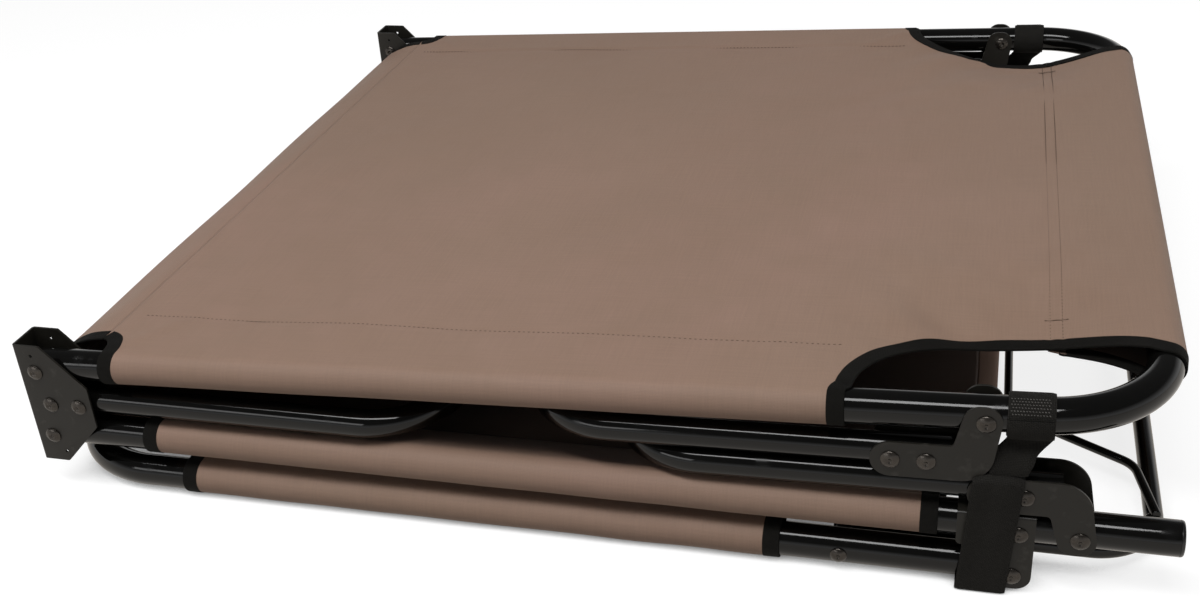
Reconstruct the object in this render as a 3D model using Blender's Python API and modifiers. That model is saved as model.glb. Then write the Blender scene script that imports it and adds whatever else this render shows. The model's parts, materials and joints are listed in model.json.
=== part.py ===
"""A folding camp bed of three canvas sections, folded flat.

The foot section lies on top, the middle section lies upside down under it, and the head section
is at the bottom. X runs along the bed, Y across it and Z up. Lengths are in metres.
Inside the model, X counts from the fold pivots at the left and Z from the middle tubes' centres,
and the last two lines of the sizes move the whole bed onto the floor.
"""

import math

import bmesh
import bpy
from mathutils import Matrix, Vector

# Clearances
GAP = 0.0003
RUN_GAP = 0.0004
STACK_GAP = 0.0008

# Tubes and rods
TUBE_R = 0.011
TUBE_WALL = 0.0012
TUBE_BEND = 0.072
LEG_R = 0.0095
LEG_WALL = 0.001
LEG_BEND = 0.055
BOW_R = 0.006
BOW_BEND = 0.040
RUNG_R = 0.003
RUNG_BEND = 0.012

# Sheet steel, rivets and cloth
PLATE = 0.0016
RIVET_R = 0.0027
RIVET_HEAD_R = 0.0058
RIVET_HEAD_H = 0.0027
PROP_RIVET_R = 0.0024
PROP_HEAD_R = 0.0052
CLOTH = 0.0012
WEBBING = 0.001

# The bed across Y and along X, most of it counted from the head pivot
HALF_WIDTH = 0.330
HEAD_PIVOT_X = 0.656
HEAD_BAR_X = -0.0093
LEG_REACH = 0.285
FOOT_LEG_BEFORE = 0.021
HEAD_LEG_PAST = 0.037
FOOT_BAR_PAST = 0.045
MIDDLE_END_PAST = 0.056
PROP_PIVOT_BEFORE = 0.104
PROP_BAR_PAST = 0.0495
FOOT_LEG_X = HEAD_PIVOT_X - FOOT_LEG_BEFORE
HEAD_LEG_X = HEAD_PIVOT_X + HEAD_LEG_PAST
FOOT_BAR_X = HEAD_LEG_X + FOOT_BAR_PAST
MIDDLE_END_X = HEAD_LEG_X + MIDDLE_END_PAST
PROP_PIVOT_X = HEAD_PIVOT_X - PROP_PIVOT_BEFORE
PROP_BAR_X = HEAD_LEG_X + PROP_BAR_PAST

# Heights of the folded stack
FOLD_CLEAR = 0.0081
CANVAS_CLEAR = 0.0063
LEG_LIFT = 0.0052
FOOT_LEG_DROP = 0.0062
STACK_SLACK = 0.0024

# What the sizes add up to
SLEEVE_R = TUBE_R + GAP + CLOTH
END_R = TUBE_R + GAP / 2
CHANNEL_IN = TUBE_R + RUN_GAP
CHANNEL_OUT = CHANNEL_IN + PLATE
RIVET_OUT = CHANNEL_OUT + GAP + RIVET_HEAD_H + GAP
PROP_INSET = RIVET_OUT + BOW_R
FOLD_PITCH = 2 * SLEEVE_R + 2 * LEG_R + FOLD_CLEAR
HEAD_DROP = 2 * SLEEVE_R + CANVAS_CLEAR
LEG_NEAR = SLEEVE_R + LEG_R + STACK_GAP
HEAD_LEG_RISE = LEG_NEAR + LEG_LIFT
FOOT_LEG_FALL = LEG_NEAR + FOOT_LEG_DROP
HEAD_LEG_TILT = math.asin(LEG_LIFT / LEG_REACH)
HEAD_LEG_BAR_X = HEAD_LEG_X - LEG_REACH
STACK_AT_BAR = 2 * LEG_NEAR + 2 * LEG_R + STACK_GAP + STACK_SLACK
FOOT_TILT = math.atan((STACK_AT_BAR - FOLD_PITCH) / HEAD_LEG_BAR_X)
FOOT_LEG_TILT = math.asin((FOOT_LEG_DROP - STACK_SLACK) / (FOOT_LEG_X - HEAD_LEG_BAR_X))

# Fold channel at the left
CHANNEL_END = 0.021
CHANNEL_TOP_X = 0.0074
CHANNEL_RIGHT_X = 0.0376
CHANNEL_SIDE = 0.0157
CHANNEL_BEND = 0.0022
FOLD_RIVETS_X = (0.0052, 0.0272)
TOOLING_HOLE_R = 0.0012
TOOLING_FROM_END = 0.008

# Leg plates, from their pivot, with the leg towards minus X
LEG_PLATE_HALF = 0.012
LEG_PLATE_EYE = 0.011
LEG_PLATE_EYE_ARC = 0.0099
LEG_PLATE_THROAT_X = -0.018
LEG_PLATE_HEEL_X = 0.003
LEG_PLATE_HEEL_R = 0.020
LEG_RIVETS_X = (-0.054, -0.033)

# Head hinge bracket, from the head pivot
SADDLE_LEFT = 0.034
SADDLE_RIGHT = 0.0115
SADDLE_SKIRT = 0.011
SADDLE_EYE = 0.0095
SADDLE_RIVETS_X = (-0.022, 0.002)

# Prop
SPACER_R = 0.005
RUNG_START_Y = 0.050
RUNG_KNEE_BACK = 0.010
RUNG_KNEE_Y = 0.103
RUNG_CROSS_PAST = 0.012
RUNG_CROSS_Y = 0.144
RUNG_KNEE_X = PROP_BAR_X - RUNG_KNEE_BACK
RUNG_CROSS_X = HEAD_PIVOT_X + RUNG_CROSS_PAST

# Canvas
SEAM = 0.050
END_SEAM = 0.064
FOOT_SLEEVE_FROM = 0.050
FOOT_SLEEVE_STOP = 0.182
MIDDLE_SLEEVE_FROM = 0.072
MIDDLE_SLEEVE_STOP = 0.046
HEAD_SLEEVE_FROM = 0.096
HEAD_SLEEVE_STOP = 0.038
FOOT_SLEEVE_X = (FOOT_SLEEVE_FROM, FOOT_BAR_X - FOOT_SLEEVE_STOP)
MIDDLE_SLEEVE_X = (MIDDLE_SLEEVE_FROM, HEAD_PIVOT_X - MIDDLE_SLEEVE_STOP)
HEAD_SLEEVE_X = (HEAD_SLEEVE_FROM, PROP_PIVOT_X - HEAD_SLEEVE_STOP)
CUT_DEPTH = 0.0745
HINGE_CUT = 0.060
NOTCH = 0.0165
NOTCH_STEP = 0.006
EDGE_SAG = 0.011
FOOT_EDGE_X = 0.040
MIDDLE_EDGE_X = 0.040
TUCK_EDGE_X = 0.016
TUCK_NOSE = 0.002
SHEET_LIFT = 0.0001
FOLD_STRIP_BULGE = 0.0125

# Straps
STRAP_WIDTH = 0.024
STRAP_PAST = 0.025
STRAP_X = FOOT_LEG_X + STRAP_PAST
STRAP_SLANT = 0.19
STRAP_SLACK = 0.0012

# Tube end caps
CAP_RIM = 0.0022
CAP_PLUG = 0.012
CAP_HOLLOW = 0.007

# Where the folded bed stands: its middle over the origin, its lowest sleeve on the floor
PLACE_X = -((HEAD_BAR_X - SLEEVE_R) + (MIDDLE_END_X + CAP_RIM)) / 2
PLACE_Z = HEAD_DROP + SLEEVE_R

# How finely round shapes are cut
TUBE_FACETS = 4
BOW_FACETS = 2
BEND_STEPS = 8
ARC_STEPS = 4
SLEEVE_STEP = math.radians(20)
WELD = 0.00001

# Turns of a flat outline: drawn in XZ and as thick in Y, or drawn in YZ and as thick in X
UPRIGHT = (math.pi / 2, 0, 0)
ACROSS = (math.pi / 2, 0, math.pi / 2)

COLOURS = {
    "tube_black": ((0.012, 0.012, 0.013), 0.16, 0.0),
    "plate_black": ((0.045, 0.041, 0.038), 0.45, 0.3),
    "rivet_steel": ((0.16, 0.155, 0.15), 0.35, 0.9),
    "plastic_black": ((0.02, 0.02, 0.021), 0.5, 0.0),
    "canvas_brown": ((0.205, 0.135, 0.105), 0.8, 0.0),
    "webbing_black": ((0.018, 0.017, 0.016), 0.85, 0.0),
}


def empty_scene():
    """Removes every object, and makes the collections for the parts and for the cutters."""
    for old in list(bpy.data.objects):
        bpy.data.objects.remove(old, do_unlink=True)
    made = []
    for name in ("camp_bed", "cutters"):
        collection = bpy.data.collections.new(name)
        bpy.context.scene.collection.children.link(collection)
        made.append(collection)
    return made


PARTS, CUTTERS = empty_scene()


def material(name):
    """The Principled material of that name, made on first use."""
    found = bpy.data.materials.get(name)
    if found:
        return found
    colour, roughness, metallic = COLOURS[name]
    made = bpy.data.materials.new(name)
    made.use_nodes = True
    shader = made.node_tree.nodes["Principled BSDF"]
    shader.inputs["Base Color"].default_value = (*colour, 1.0)
    shader.inputs["Roughness"].default_value = roughness
    shader.inputs["Metallic"].default_value = metallic
    made.diffuse_color = (*colour, 1.0)
    return made


def pivot(name, parent=None, place=(0, 0, 0), tilt=0.0):
    """An empty on a joint's axis, turned by tilt about Y. A positive tilt raises its +X end."""
    empty = bpy.data.objects.new(name, None)
    PARTS.objects.link(empty)
    empty.parent = parent
    empty.location = place
    empty.rotation_euler = (0, -tilt, 0)
    return empty


def add(name, mesh, body, colour=None, place=(0, 0, 0), turn=(0, 0, 0)):
    """Puts a mesh in the scene as a part of a body, or without a colour as one of its cutters."""
    thing = bpy.data.objects.new(name, mesh)
    thing.parent = body
    thing.location = place
    thing.rotation_euler = turn
    if colour:
        PARTS.objects.link(thing)
        if not mesh.materials:
            mesh.materials.append(material(colour))
    else:
        CUTTERS.objects.link(thing)
        thing.hide_render = True
        thing.display_type = "WIRE"
    return thing


def welded_mesh(curve):
    """The closed mesh of a curve, with its caps welded on and its faces pointing out."""
    source = bpy.data.objects.new("drawn", curve)
    bpy.context.scene.collection.objects.link(source)
    bpy.context.view_layer.update()
    drawn = source.evaluated_get(bpy.context.evaluated_depsgraph_get())
    mesh = bpy.data.meshes.new_from_object(drawn)
    bpy.data.objects.remove(source, do_unlink=True)
    bm = bmesh.new()
    bm.from_mesh(mesh)
    bmesh.ops.remove_doubles(bm, verts=bm.verts, dist=WELD)
    bmesh.ops.recalc_face_normals(bm, faces=bm.faces)
    bm.to_mesh(mesh)
    bm.free()
    mesh.shade_smooth()
    mesh.set_sharp_from_angle(angle=math.radians(40))
    return mesh


def rod(path, radius, facets):
    """A solid round rod along a list of points."""
    curve = bpy.data.curves.new("rod", "CURVE")
    curve.dimensions = "3D"
    curve.bevel_depth = radius
    curve.bevel_resolution = facets
    curve.use_fill_caps = True
    spline = curve.splines.new("POLY")
    spline.points.add(len(path) - 1)
    for point, place in zip(spline.points, path):
        point.co = (*place, 1)
    return welded_mesh(curve)


def slab(outlines, thickness):
    """A flat plate: the first outline is its edge, and the others are its holes."""
    curve = bpy.data.curves.new("slab", "CURVE")
    curve.dimensions = "2D"
    curve.fill_mode = "BOTH"
    curve.extrude = thickness / 2
    for outline in outlines:
        spline = curve.splines.new("POLY")
        spline.points.add(len(outline) - 1)
        spline.use_cyclic_u = True
        for point, place in zip(spline.points, outline):
            point.co = (place[0], place[1], 0, 1)
    return welded_mesh(curve)


def rounded(corners):
    """A closed outline through corners (x, y, radius), each rounded with an arc."""
    points = []
    for i, (x, y, radius) in enumerate(corners):
        corner = Vector((x, y))
        before = (Vector(corners[i - 1][:2]) - corner).normalized()
        after = (Vector(corners[(i + 1) % len(corners)][:2]) - corner).normalized()
        half = before.angle(after) / 2
        if radius <= 0:
            points.append(corner)
            continue
        centre = corner + (before + after).normalized() * radius / math.sin(half)
        first = corner + before * radius / math.tan(half) - centre
        turn = (corner + after * radius / math.tan(half) - centre).angle_signed(first)
        for step in range(ARC_STEPS + 1):
            swing = Matrix.Rotation(turn * step / ARC_STEPS, 2)
            points.append(centre + swing @ first)
    return points


def drill(part, body, places, radius, length, sides=10):
    """Cuts round holes along Y through a part, each wide enough for a pin of that radius."""
    bm = bmesh.new()
    for place in places:
        made = bmesh.ops.create_cone(
            bm,
            cap_ends=True,
            segments=sides,
            radius1=radius / math.cos(math.pi / sides),
            radius2=radius / math.cos(math.pi / sides),
            depth=length,
        )
        move = Matrix.Translation(place) @ Matrix.Rotation(math.pi / 2, 4, "X")
        move = move @ Matrix.Rotation(math.pi / sides, 4, "Z")
        bmesh.ops.transform(bm, matrix=move, verts=made["verts"])
    mesh = bpy.data.meshes.new(part.name + "_holes")
    bm.to_mesh(mesh)
    bm.free()
    cut(part, add(mesh.name, mesh, body))


def cut(part, cutter, operation="DIFFERENCE"):
    """Adds an exact Boolean to a part."""
    modifier = part.modifiers.new(cutter.name, "BOOLEAN")
    modifier.operation = operation
    modifier.solver = "EXACT"
    modifier.object = cutter


def u_path(end_x, bar_x, half, bend, grow=0.0):
    """A U in the XY plane: in from end_x, round a bend, across at bar_x, and back.
    grow lengthens both ends."""
    way = 1 if bar_x > end_x else -1
    quarter = [math.pi / 2 * i / BEND_STEPS for i in range(BEND_STEPS + 1)]
    near = [(end_x - way * grow, -half, 0)]
    for angle in quarter:
        x = bar_x - way * bend * (1 - math.sin(angle))
        y = -half + bend * (1 - math.cos(angle))
        near.append((x, y, 0))
    return near + [(x, -y, z) for x, y, z in reversed(near)]


def tube(name, body, make_path, radius, wall, z=0.0):
    """A hollow tube with open ends. make_path(grow) gives its path, longer at both ends by grow."""
    place = (0, 0, z)
    outer = add(name, rod(make_path(0), radius, TUBE_FACETS), body, "tube_black", place)
    bore = rod(make_path(radius), radius - wall, TUBE_FACETS)
    cut(outer, add(name + "_bore", bore, body, place=place))
    return outer


def round_end(part, body, name, centre, way, sides_y):
    """Rounds a tube's end about its pivot, so that it turns inside its bracket.
    way is the side of the pivot, along X, on which the tube ends."""
    reach = 2 * TUBE_R
    outline = [(0, -reach), (way * reach, -reach), (way * reach, reach), (0, reach)]
    steps = 12
    for step in range(steps + 1):
        angle = math.pi / 2 - math.pi * step / steps
        outline.append((way * END_R * math.cos(angle), END_R * math.sin(angle)))
    for side, y in sides_y:
        cutter = slab([outline], 4 * TUBE_R)
        place = (centre[0], y, centre[1])
        cut(part, add(f"{name}_{side}", cutter, body, place=place, turn=UPRIGHT))


def rivet_mesh(grip, radius, head_radius, colour):
    """A rivet along Z with a domed head at both ends of its grip, turned from a profile."""
    dome = 2
    half = grip / 2
    head = [
        (
            head_radius * math.sin(math.pi / 2 * i / dome),
            half + RIVET_HEAD_H * math.cos(math.pi / 2 * i / dome),
        )
        for i in range(dome + 1)
    ]
    profile = head + [(radius, half)]
    profile += [(x, -z) for x, z in reversed(profile)]
    mesh = bpy.data.meshes.new("rivet_profile")
    mesh.from_pydata(
        [(x, 0, z) for x, z in profile],
        [(i, i + 1) for i in range(len(profile) - 1)],
        [],
    )
    source = bpy.data.objects.new("rivet_profile", mesh)
    bpy.context.scene.collection.objects.link(source)
    screw = source.modifiers.new("turn", "SCREW")
    screw.steps = screw.render_steps = 10
    screw.use_merge_vertices = True
    screw.merge_threshold = WELD
    bpy.context.view_layer.update()
    turned = source.evaluated_get(bpy.context.evaluated_depsgraph_get())
    made = bpy.data.meshes.new_from_object(turned)
    bpy.data.objects.remove(source, do_unlink=True)
    bm = bmesh.new()
    bm.from_mesh(made)
    bmesh.ops.remove_doubles(bm, verts=bm.verts, dist=WELD)
    bmesh.ops.recalc_face_normals(bm, faces=bm.faces)
    bm.to_mesh(made)
    bm.free()
    made.shade_smooth()
    made.set_sharp_from_angle(angle=math.radians(40))
    made.materials.append(material(colour))
    return made


SIDES = (("near", -1), ("far", 1))
HOLE_R = RIVET_R + GAP
PLATE_RIVET = rivet_mesh(2 * (CHANNEL_OUT + GAP), RIVET_R, RIVET_HEAD_R, "rivet_steel")


def rivets(name, body, places):
    """Plate rivets on both sides of the bed, numbered where there are several."""
    for side, way in SIDES:
        for number, (x, z) in enumerate(places, 1):
            label = f"{name}_{side}" + (f"_{number}" if len(places) > 1 else "")
            place = (x, way * HALF_WIDTH, z)
            add(label, PLATE_RIVET, body, "rivet_steel", place, UPRIGHT)


def fold_channel(side, way, body):
    """The folded channel that joins the foot and middle tubes and carries the fold leg."""
    inner, outer = CHANNEL_IN, CHANNEL_OUT
    right = CHANNEL_RIGHT_X + GAP
    section = rounded(
        [
            (right, -outer, 0),
            (-outer, -outer, CHANNEL_BEND),
            (-outer, outer, CHANNEL_BEND),
            (right, outer, 0),
            (right, inner, 0),
            (-inner, inner, CHANNEL_BEND - PLATE),
            (-inner, -inner, CHANNEL_BEND - PLATE),
            (right, -inner, 0),
        ]
    )
    middle = FOLD_PITCH / 2
    height = FOLD_PITCH + 2 * CHANNEL_END
    name = f"fold_channel_{side}"
    place = (0, way * HALF_WIDTH, middle)
    channel = add(name, slab([section], height + GAP), body, "plate_black", place)
    top = FOLD_PITCH + CHANNEL_END
    corner = CHANNEL_BEND
    shape = rounded(
        [
            (-2 * outer, -CHANNEL_END, 0),
            (CHANNEL_TOP_X, -CHANNEL_END, corner),
            (CHANNEL_RIGHT_X, middle - CHANNEL_SIDE, corner),
            (CHANNEL_RIGHT_X, middle + CHANNEL_SIDE, corner),
            (CHANNEL_TOP_X, top, corner),
            (-2 * outer, top, 0),
        ]
    )
    blank = slab([shape], 3 * outer)
    cut(
        channel,
        add(name + "_shape", blank, body, place=(0, way * HALF_WIDTH, 0), turn=UPRIGHT),
        "INTERSECT",
    )
    y = way * HALF_WIDTH
    holes = [(x, y, middle) for x in FOLD_RIVETS_X] + [(0, y, 0), (0, y, FOLD_PITCH)]
    drill(channel, body, holes, HOLE_R, 3 * outer)
    small = [
        (0, y, top - TOOLING_FROM_END),
        (CHANNEL_TOP_X, y, TOOLING_FROM_END - CHANNEL_END),
    ]
    drill(channel, body, small, TOOLING_HOLE_R, 3 * outer, sides=8)


def leg_plates(name, body, offset, way_z):
    """The four plates that hold a leg to its pivot. The leg runs offset away from the pivot,
    above it for way_z 1 and below it for way_z -1."""
    far = offset + LEG_PLATE_HALF
    near = offset - LEG_PLATE_HALF
    eye = LEG_PLATE_EYE
    end = LEG_RIVETS_X[0] - LEG_PLATE_HALF
    corners = [
        (end, far, LEG_PLATE_HALF - GAP),
        (end, near, LEG_PLATE_HALF - GAP),
        (LEG_PLATE_THROAT_X, near, CHANNEL_BEND),
        (-eye, -eye, LEG_PLATE_EYE_ARC),
        (eye, -eye, LEG_PLATE_EYE_ARC),
        (LEG_PLATE_HEEL_X, far, LEG_PLATE_HEEL_R),
    ]
    outline = rounded([(x, way_z * z, r) for x, z, r in corners])
    holes = [(0, 0, 0)] + [(x, 0, way_z * offset) for x in LEG_RIVETS_X]
    for side, way in SIDES:
        for face, out in (("outer", way), ("inner", -way)):
            y = way * HALF_WIDTH + out * (CHANNEL_IN + PLATE / 2)
            plate = add(
                f"{name}_plate_{side}_{face}",
                slab([outline], PLATE),
                body,
                "plate_black",
                (0, y, 0),
                UPRIGHT,
            )
            places = [(x, y, z) for x, _, z in holes]
            drill(plate, body, places, HOLE_R, 3 * PLATE)


def leg(name, body, offset, way_z):
    """A U-shaped leg with its plates and rivets, in the frame of its pivot."""
    z = way_z * offset
    end_x = -(TUBE_R + RUN_GAP + GAP)

    def path(grow):
        return u_path(end_x, -LEG_REACH, HALF_WIDTH, LEG_BEND, grow)

    made = tube(f"{name}_tube", body, path, LEG_R, LEG_WALL, z)
    holes = [(x, way * HALF_WIDTH, z) for x in LEG_RIVETS_X for _, way in SIDES]
    drill(made, body, holes, HOLE_R, 3 * LEG_R)
    leg_plates(name, body, offset, way_z)
    rivets(f"{name}_rivet", body, [(x, z) for x in LEG_RIVETS_X])
    rivets(f"{name}_pivot_rivet", body, [(0, 0)])


def fold_leg(body):
    """The leg under the fold, fixed to the two fold channels."""
    middle = FOLD_PITCH / 2
    end_x = RUN_GAP + GAP - CHANNEL_IN

    def path(grow):
        return u_path(end_x, LEG_REACH, HALF_WIDTH, LEG_BEND, grow)

    made = tube("fold_leg_tube", body, path, LEG_R, LEG_WALL, middle)
    holes = [(x, way * HALF_WIDTH, middle) for x in FOLD_RIVETS_X for _, way in SIDES]
    drill(made, body, holes, HOLE_R, 3 * LEG_R)
    for side, way in SIDES:
        fold_channel(side, way, body)
    rivets("fold_leg_rivet", body, [(x, middle) for x in FOLD_RIVETS_X])
    rivets("middle_pivot_rivet", body, [(0, 0)])
    rivets("foot_pivot_rivet", body, [(0, FOLD_PITCH)])


def sleeve_section(seam):
    """Outline of a sleeve round a tube at the origin: out over the top, round the bottom and
    back up to the seam. The first coordinate grows towards the seam, the second is the height."""
    inner, outer = TUBE_R + GAP, SLEEVE_R
    middle = (inner + outer) / 2
    reach = Vector((seam, middle + SHEET_LIFT))
    last = math.atan2(reach.y, reach.x) - math.acos(middle / reach.length) + 2 * math.pi
    stretch = 1 / math.cos(SLEEVE_STEP / 2)
    start = math.pi / 2 - SLEEVE_STEP / 2
    count = int((last - start) / SLEEVE_STEP) + 1
    out_side, in_side = [], []
    for i in range(count):
        angle = start + i * SLEEVE_STEP
        ray = Vector((math.cos(angle), math.sin(angle)))
        out_side.append(ray * outer * stretch)
        in_side.append(ray * inner * stretch)
    normal = Vector((math.cos(last), math.sin(last)))
    out_side += [normal * outer, reach + normal * CLOTH / 2]
    in_side += [normal * inner, reach - normal * CLOTH / 2]
    return out_side + in_side[::-1]


def sleeve(sheet, body, name, seam, span, place, turn, flip):
    """Joins a sleeve to a canvas. flip mirrors its section left to right, or top to bottom."""
    section = [(flip[0] * x, flip[1] * y) for x, y in sleeve_section(seam)]
    solid = add(name, slab([section], span), body, place=place, turn=turn)
    cut(sheet, solid, "UNION")


def sheet_object(name, body, rows, ranks, edge, height, up):
    """A sheet of canvas on a grid. rows are its places along X, edge(x) is half its width there,
    and height(x, v) is the height of its inner face, with v from -1 to 1 across it."""
    bm = bmesh.new()
    bmesh.ops.create_grid(
        bm, x_segments=len(rows) - 1, y_segments=ranks, size=1, calc_uvs=False
    )
    for vert in bm.verts:
        row = rows[round((vert.co.x + 1) / 2 * (len(rows) - 1))]
        v = vert.co.y
        vert.co = (row, v * edge(row), height(row, v))
    bmesh.ops.recalc_face_normals(bm, faces=bm.faces)
    if sum(face.normal.z for face in bm.faces) * up < 0:
        bmesh.ops.reverse_faces(bm, faces=bm.faces)
    mesh = bpy.data.meshes.new(name)
    bm.to_mesh(mesh)
    bm.free()
    sheet = add(name, mesh, body, "canvas_brown")
    wall = sheet.modifiers.new("cloth thickness", "SOLIDIFY")
    wall.thickness = CLOTH
    wall.offset = 1
    return sheet


def spaced(start, end, count):
    """count + 1 places from start to end, both kept."""
    return [start + (end - start) * i / count for i in range(count + 1)]


def cut_out(x, start, end, depth, final):
    """How far a corner cut-out reaches in from the side tube: a quarter ellipse from start,
    depth at most, easing to final at end."""
    t = min(max((x - start) / (end - start), 0.0), 1.0)
    curve = math.sqrt(max(0.0, 1 - (1 - min(t * 2, 1.0)) ** 2))
    ease = max(0.0, 2 * t - 1)
    return depth * curve - (depth - final) * ease * ease * (3 - 2 * ease)


def cut_rows(start, end):
    """Rows along a cut-out, close together where it starts."""
    return [start + (end - start) * (i / 9) ** 1.7 for i in range(1, 10)]


def foot_canvas(body):
    """The canvas of the foot section: two side sleeves, an end sleeve and two corner cut-outs."""
    left, right = FOOT_SLEEVE_X
    base = TUBE_R + GAP + SHEET_LIFT

    def edge(x):
        if x < left - NOTCH_STEP / 2:
            return HALF_WIDTH - NOTCH
        return HALF_WIDTH - cut_out(x, right, FOOT_BAR_X, CUT_DEPTH, TUBE_BEND)

    def height(x, v):
        t = min(max((x - right) / (FOOT_BAR_X - END_SEAM - right), 0.0), 1.0)
        rim = max(0.0, abs(v) * 3 - 2)
        return base - EDGE_SAG * math.sin(math.pi * t) ** 2 * rim * rim

    rows = [FOOT_EDGE_X, left - NOTCH_STEP, *spaced(left, right, 3)]
    rows += cut_rows(right, FOOT_BAR_X)
    sheet = sheet_object("foot_canvas", body, rows, 12, edge, height, 1)
    middle = (left + right) / 2
    for side, way in SIDES:
        sleeve(
            sheet,
            body,
            f"foot_sleeve_{side}",
            SEAM,
            right - left,
            (middle, way * HALF_WIDTH, 0),
            ACROSS,
            (-way, 1),
        )
    span = 2 * (HALF_WIDTH - TUBE_BEND)
    place = (FOOT_BAR_X, 0, 0)
    sleeve(sheet, body, "foot_end_sleeve", END_SEAM, span, place, UPRIGHT, (-1, 1))


def middle_canvas(body):
    """The canvas of the middle section, on the under side of its tubes as folded."""
    left, right = MIDDLE_SLEEVE_X
    end = HEAD_PIVOT_X - TUCK_EDGE_X
    base = TUBE_R + GAP + SHEET_LIFT

    def edge(x):
        if x < left - NOTCH_STEP / 2:
            return HALF_WIDTH - NOTCH
        return HALF_WIDTH - cut_out(x, right, 2 * end - right, HINGE_CUT, HINGE_CUT)

    rows = [MIDDLE_EDGE_X, left - NOTCH_STEP, *spaced(left, right, 3)]
    rows += [right + (end - right) * (i / 5) ** 1.7 for i in range(1, 6)]
    sheet = sheet_object(
        "middle_canvas", body, rows, 8, edge, lambda x, v: -base, -1
    )
    middle = (left + right) / 2
    for side, way in SIDES:
        sleeve(
            sheet,
            body,
            f"middle_sleeve_{side}",
            SEAM,
            right - left,
            (middle, way * HALF_WIDTH, 0),
            ACROSS,
            (-way, -1),
        )


def head_canvas(body):
    """The canvas of the head section, in the frame of the head pivot."""
    left, right = (x - HEAD_PIVOT_X for x in HEAD_SLEEVE_X)
    bar = HEAD_BAR_X - HEAD_PIVOT_X
    end = -TUCK_EDGE_X
    base = TUBE_R + GAP + SHEET_LIFT

    def edge(x):
        if x < left:
            return HALF_WIDTH - cut_out(-x, -left, -bar, CUT_DEPTH, TUBE_BEND)
        return HALF_WIDTH - cut_out(x, right, 2 * end - right, HINGE_CUT, HINGE_CUT)

    rows = [-x for x in reversed(cut_rows(-left, -bar))] + spaced(left, right, 3)
    rows += [right + (end - right) * (i / 7) ** 1.7 for i in range(1, 8)]
    sheet = sheet_object("head_canvas", body, rows, 8, edge, lambda x, v: base, 1)
    middle = (left + right) / 2
    for side, way in SIDES:
        sleeve(
            sheet,
            body,
            f"head_sleeve_{side}",
            SEAM,
            right - left,
            (middle, way * HALF_WIDTH, 0),
            ACROSS,
            (-way, 1),
        )
    span = 2 * (HALF_WIDTH - TUBE_BEND)
    place = (bar, 0, 0)
    sleeve(sheet, body, "head_end_sleeve", END_SEAM, span, place, UPRIGHT, (1, 1))


def thick_line(points, thickness):
    """The outline of a strip of that thickness along a line of points."""
    line = [Vector(p) for p in points]
    left, right = [], []
    for i, point in enumerate(line):
        along = (line[min(i + 1, len(line) - 1)] - line[max(i - 1, 0)]).normalized()
        normal = Vector((-along.y, along.x)) * thickness / 2
        left.append(point + normal)
        right.append(point - normal)
    return left + right[::-1]


def bezier(a, b, c, d, count):
    """count + 1 points along a cubic curve from a to d, with b and c as its handles."""
    points = []
    for i in range(count + 1):
        t = i / count
        s = 1 - t
        ts = (s * s * s, 3 * s * s * t, 3 * s * t * t, t * t * t)
        points.append(sum((w * Vector(p) for w, p in zip(ts, (a, b, c, d))), Vector((0, 0))))
    return points


def canvas_fold_left(body):
    """The canvas between the foot and middle sections, slack round the fold's left side."""
    lift = TUBE_R + GAP + SHEET_LIFT + CLOTH / 2
    edge = FOOT_EDGE_X - GAP
    slope = math.tan(FOOT_TILT)
    top = (
        edge * math.cos(FOOT_TILT) - lift * math.sin(FOOT_TILT),
        FOLD_PITCH + edge * math.sin(FOOT_TILT) + lift * math.cos(FOOT_TILT),
    )
    turn = (-FOLD_STRIP_BULGE, FOLD_PITCH / 2)
    bottom = (MIDDLE_EDGE_X - GAP, -lift)
    pull = FOLD_PITCH / 4
    upper = bezier(
        top,
        (top[0] - pull, top[1] - pull * slope),
        (turn[0] + pull / 2, turn[1] + pull),
        turn,
        7,
    )
    lower = bezier(turn, (turn[0], turn[1] - 2 * pull), (0, -lift), bottom, 7)
    outline = thick_line(upper + lower[1:], CLOTH)
    span = 2 * (HALF_WIDTH - NOTCH)
    add("canvas_fold_left", slab([outline], span), body, "canvas_brown", turn=UPRIGHT)


def canvas_fold_right(body):
    """The canvas tucked between the middle and head sections, at their hinge."""
    lift = TUBE_R + GAP + SHEET_LIFT + CLOTH / 2
    start = (-TUCK_EDGE_X + GAP, HEAD_DROP - lift)
    end = (-TUCK_EDGE_X + GAP, lift)
    nose = (-TUCK_NOSE, (start[1] + end[1]) / 2)
    half = (start[1] - end[1]) / 2
    upper = bezier(
        start, (start[0] + half, start[1]), (nose[0], nose[1] + half), nose, 5
    )
    lower = [(x, 2 * nose[1] - y) for x, y in reversed(upper[:-1])]
    outline = thick_line([tuple(p) for p in upper] + lower, CLOTH)
    span = 2 * (HALF_WIDTH - HINGE_CUT)
    add("canvas_fold_right", slab([outline], span), body, "canvas_brown", turn=UPRIGHT)


def from_foot_tube(z):
    """Height above the foot tube, where the strap crosses it, of a height z in the middle's."""
    sine, cosine = math.sin(FOOT_TILT), math.cos(FOOT_TILT)
    return (z - FOLD_PITCH - STRAP_X * sine) / (cosine + STRAP_SLANT * sine)


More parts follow.
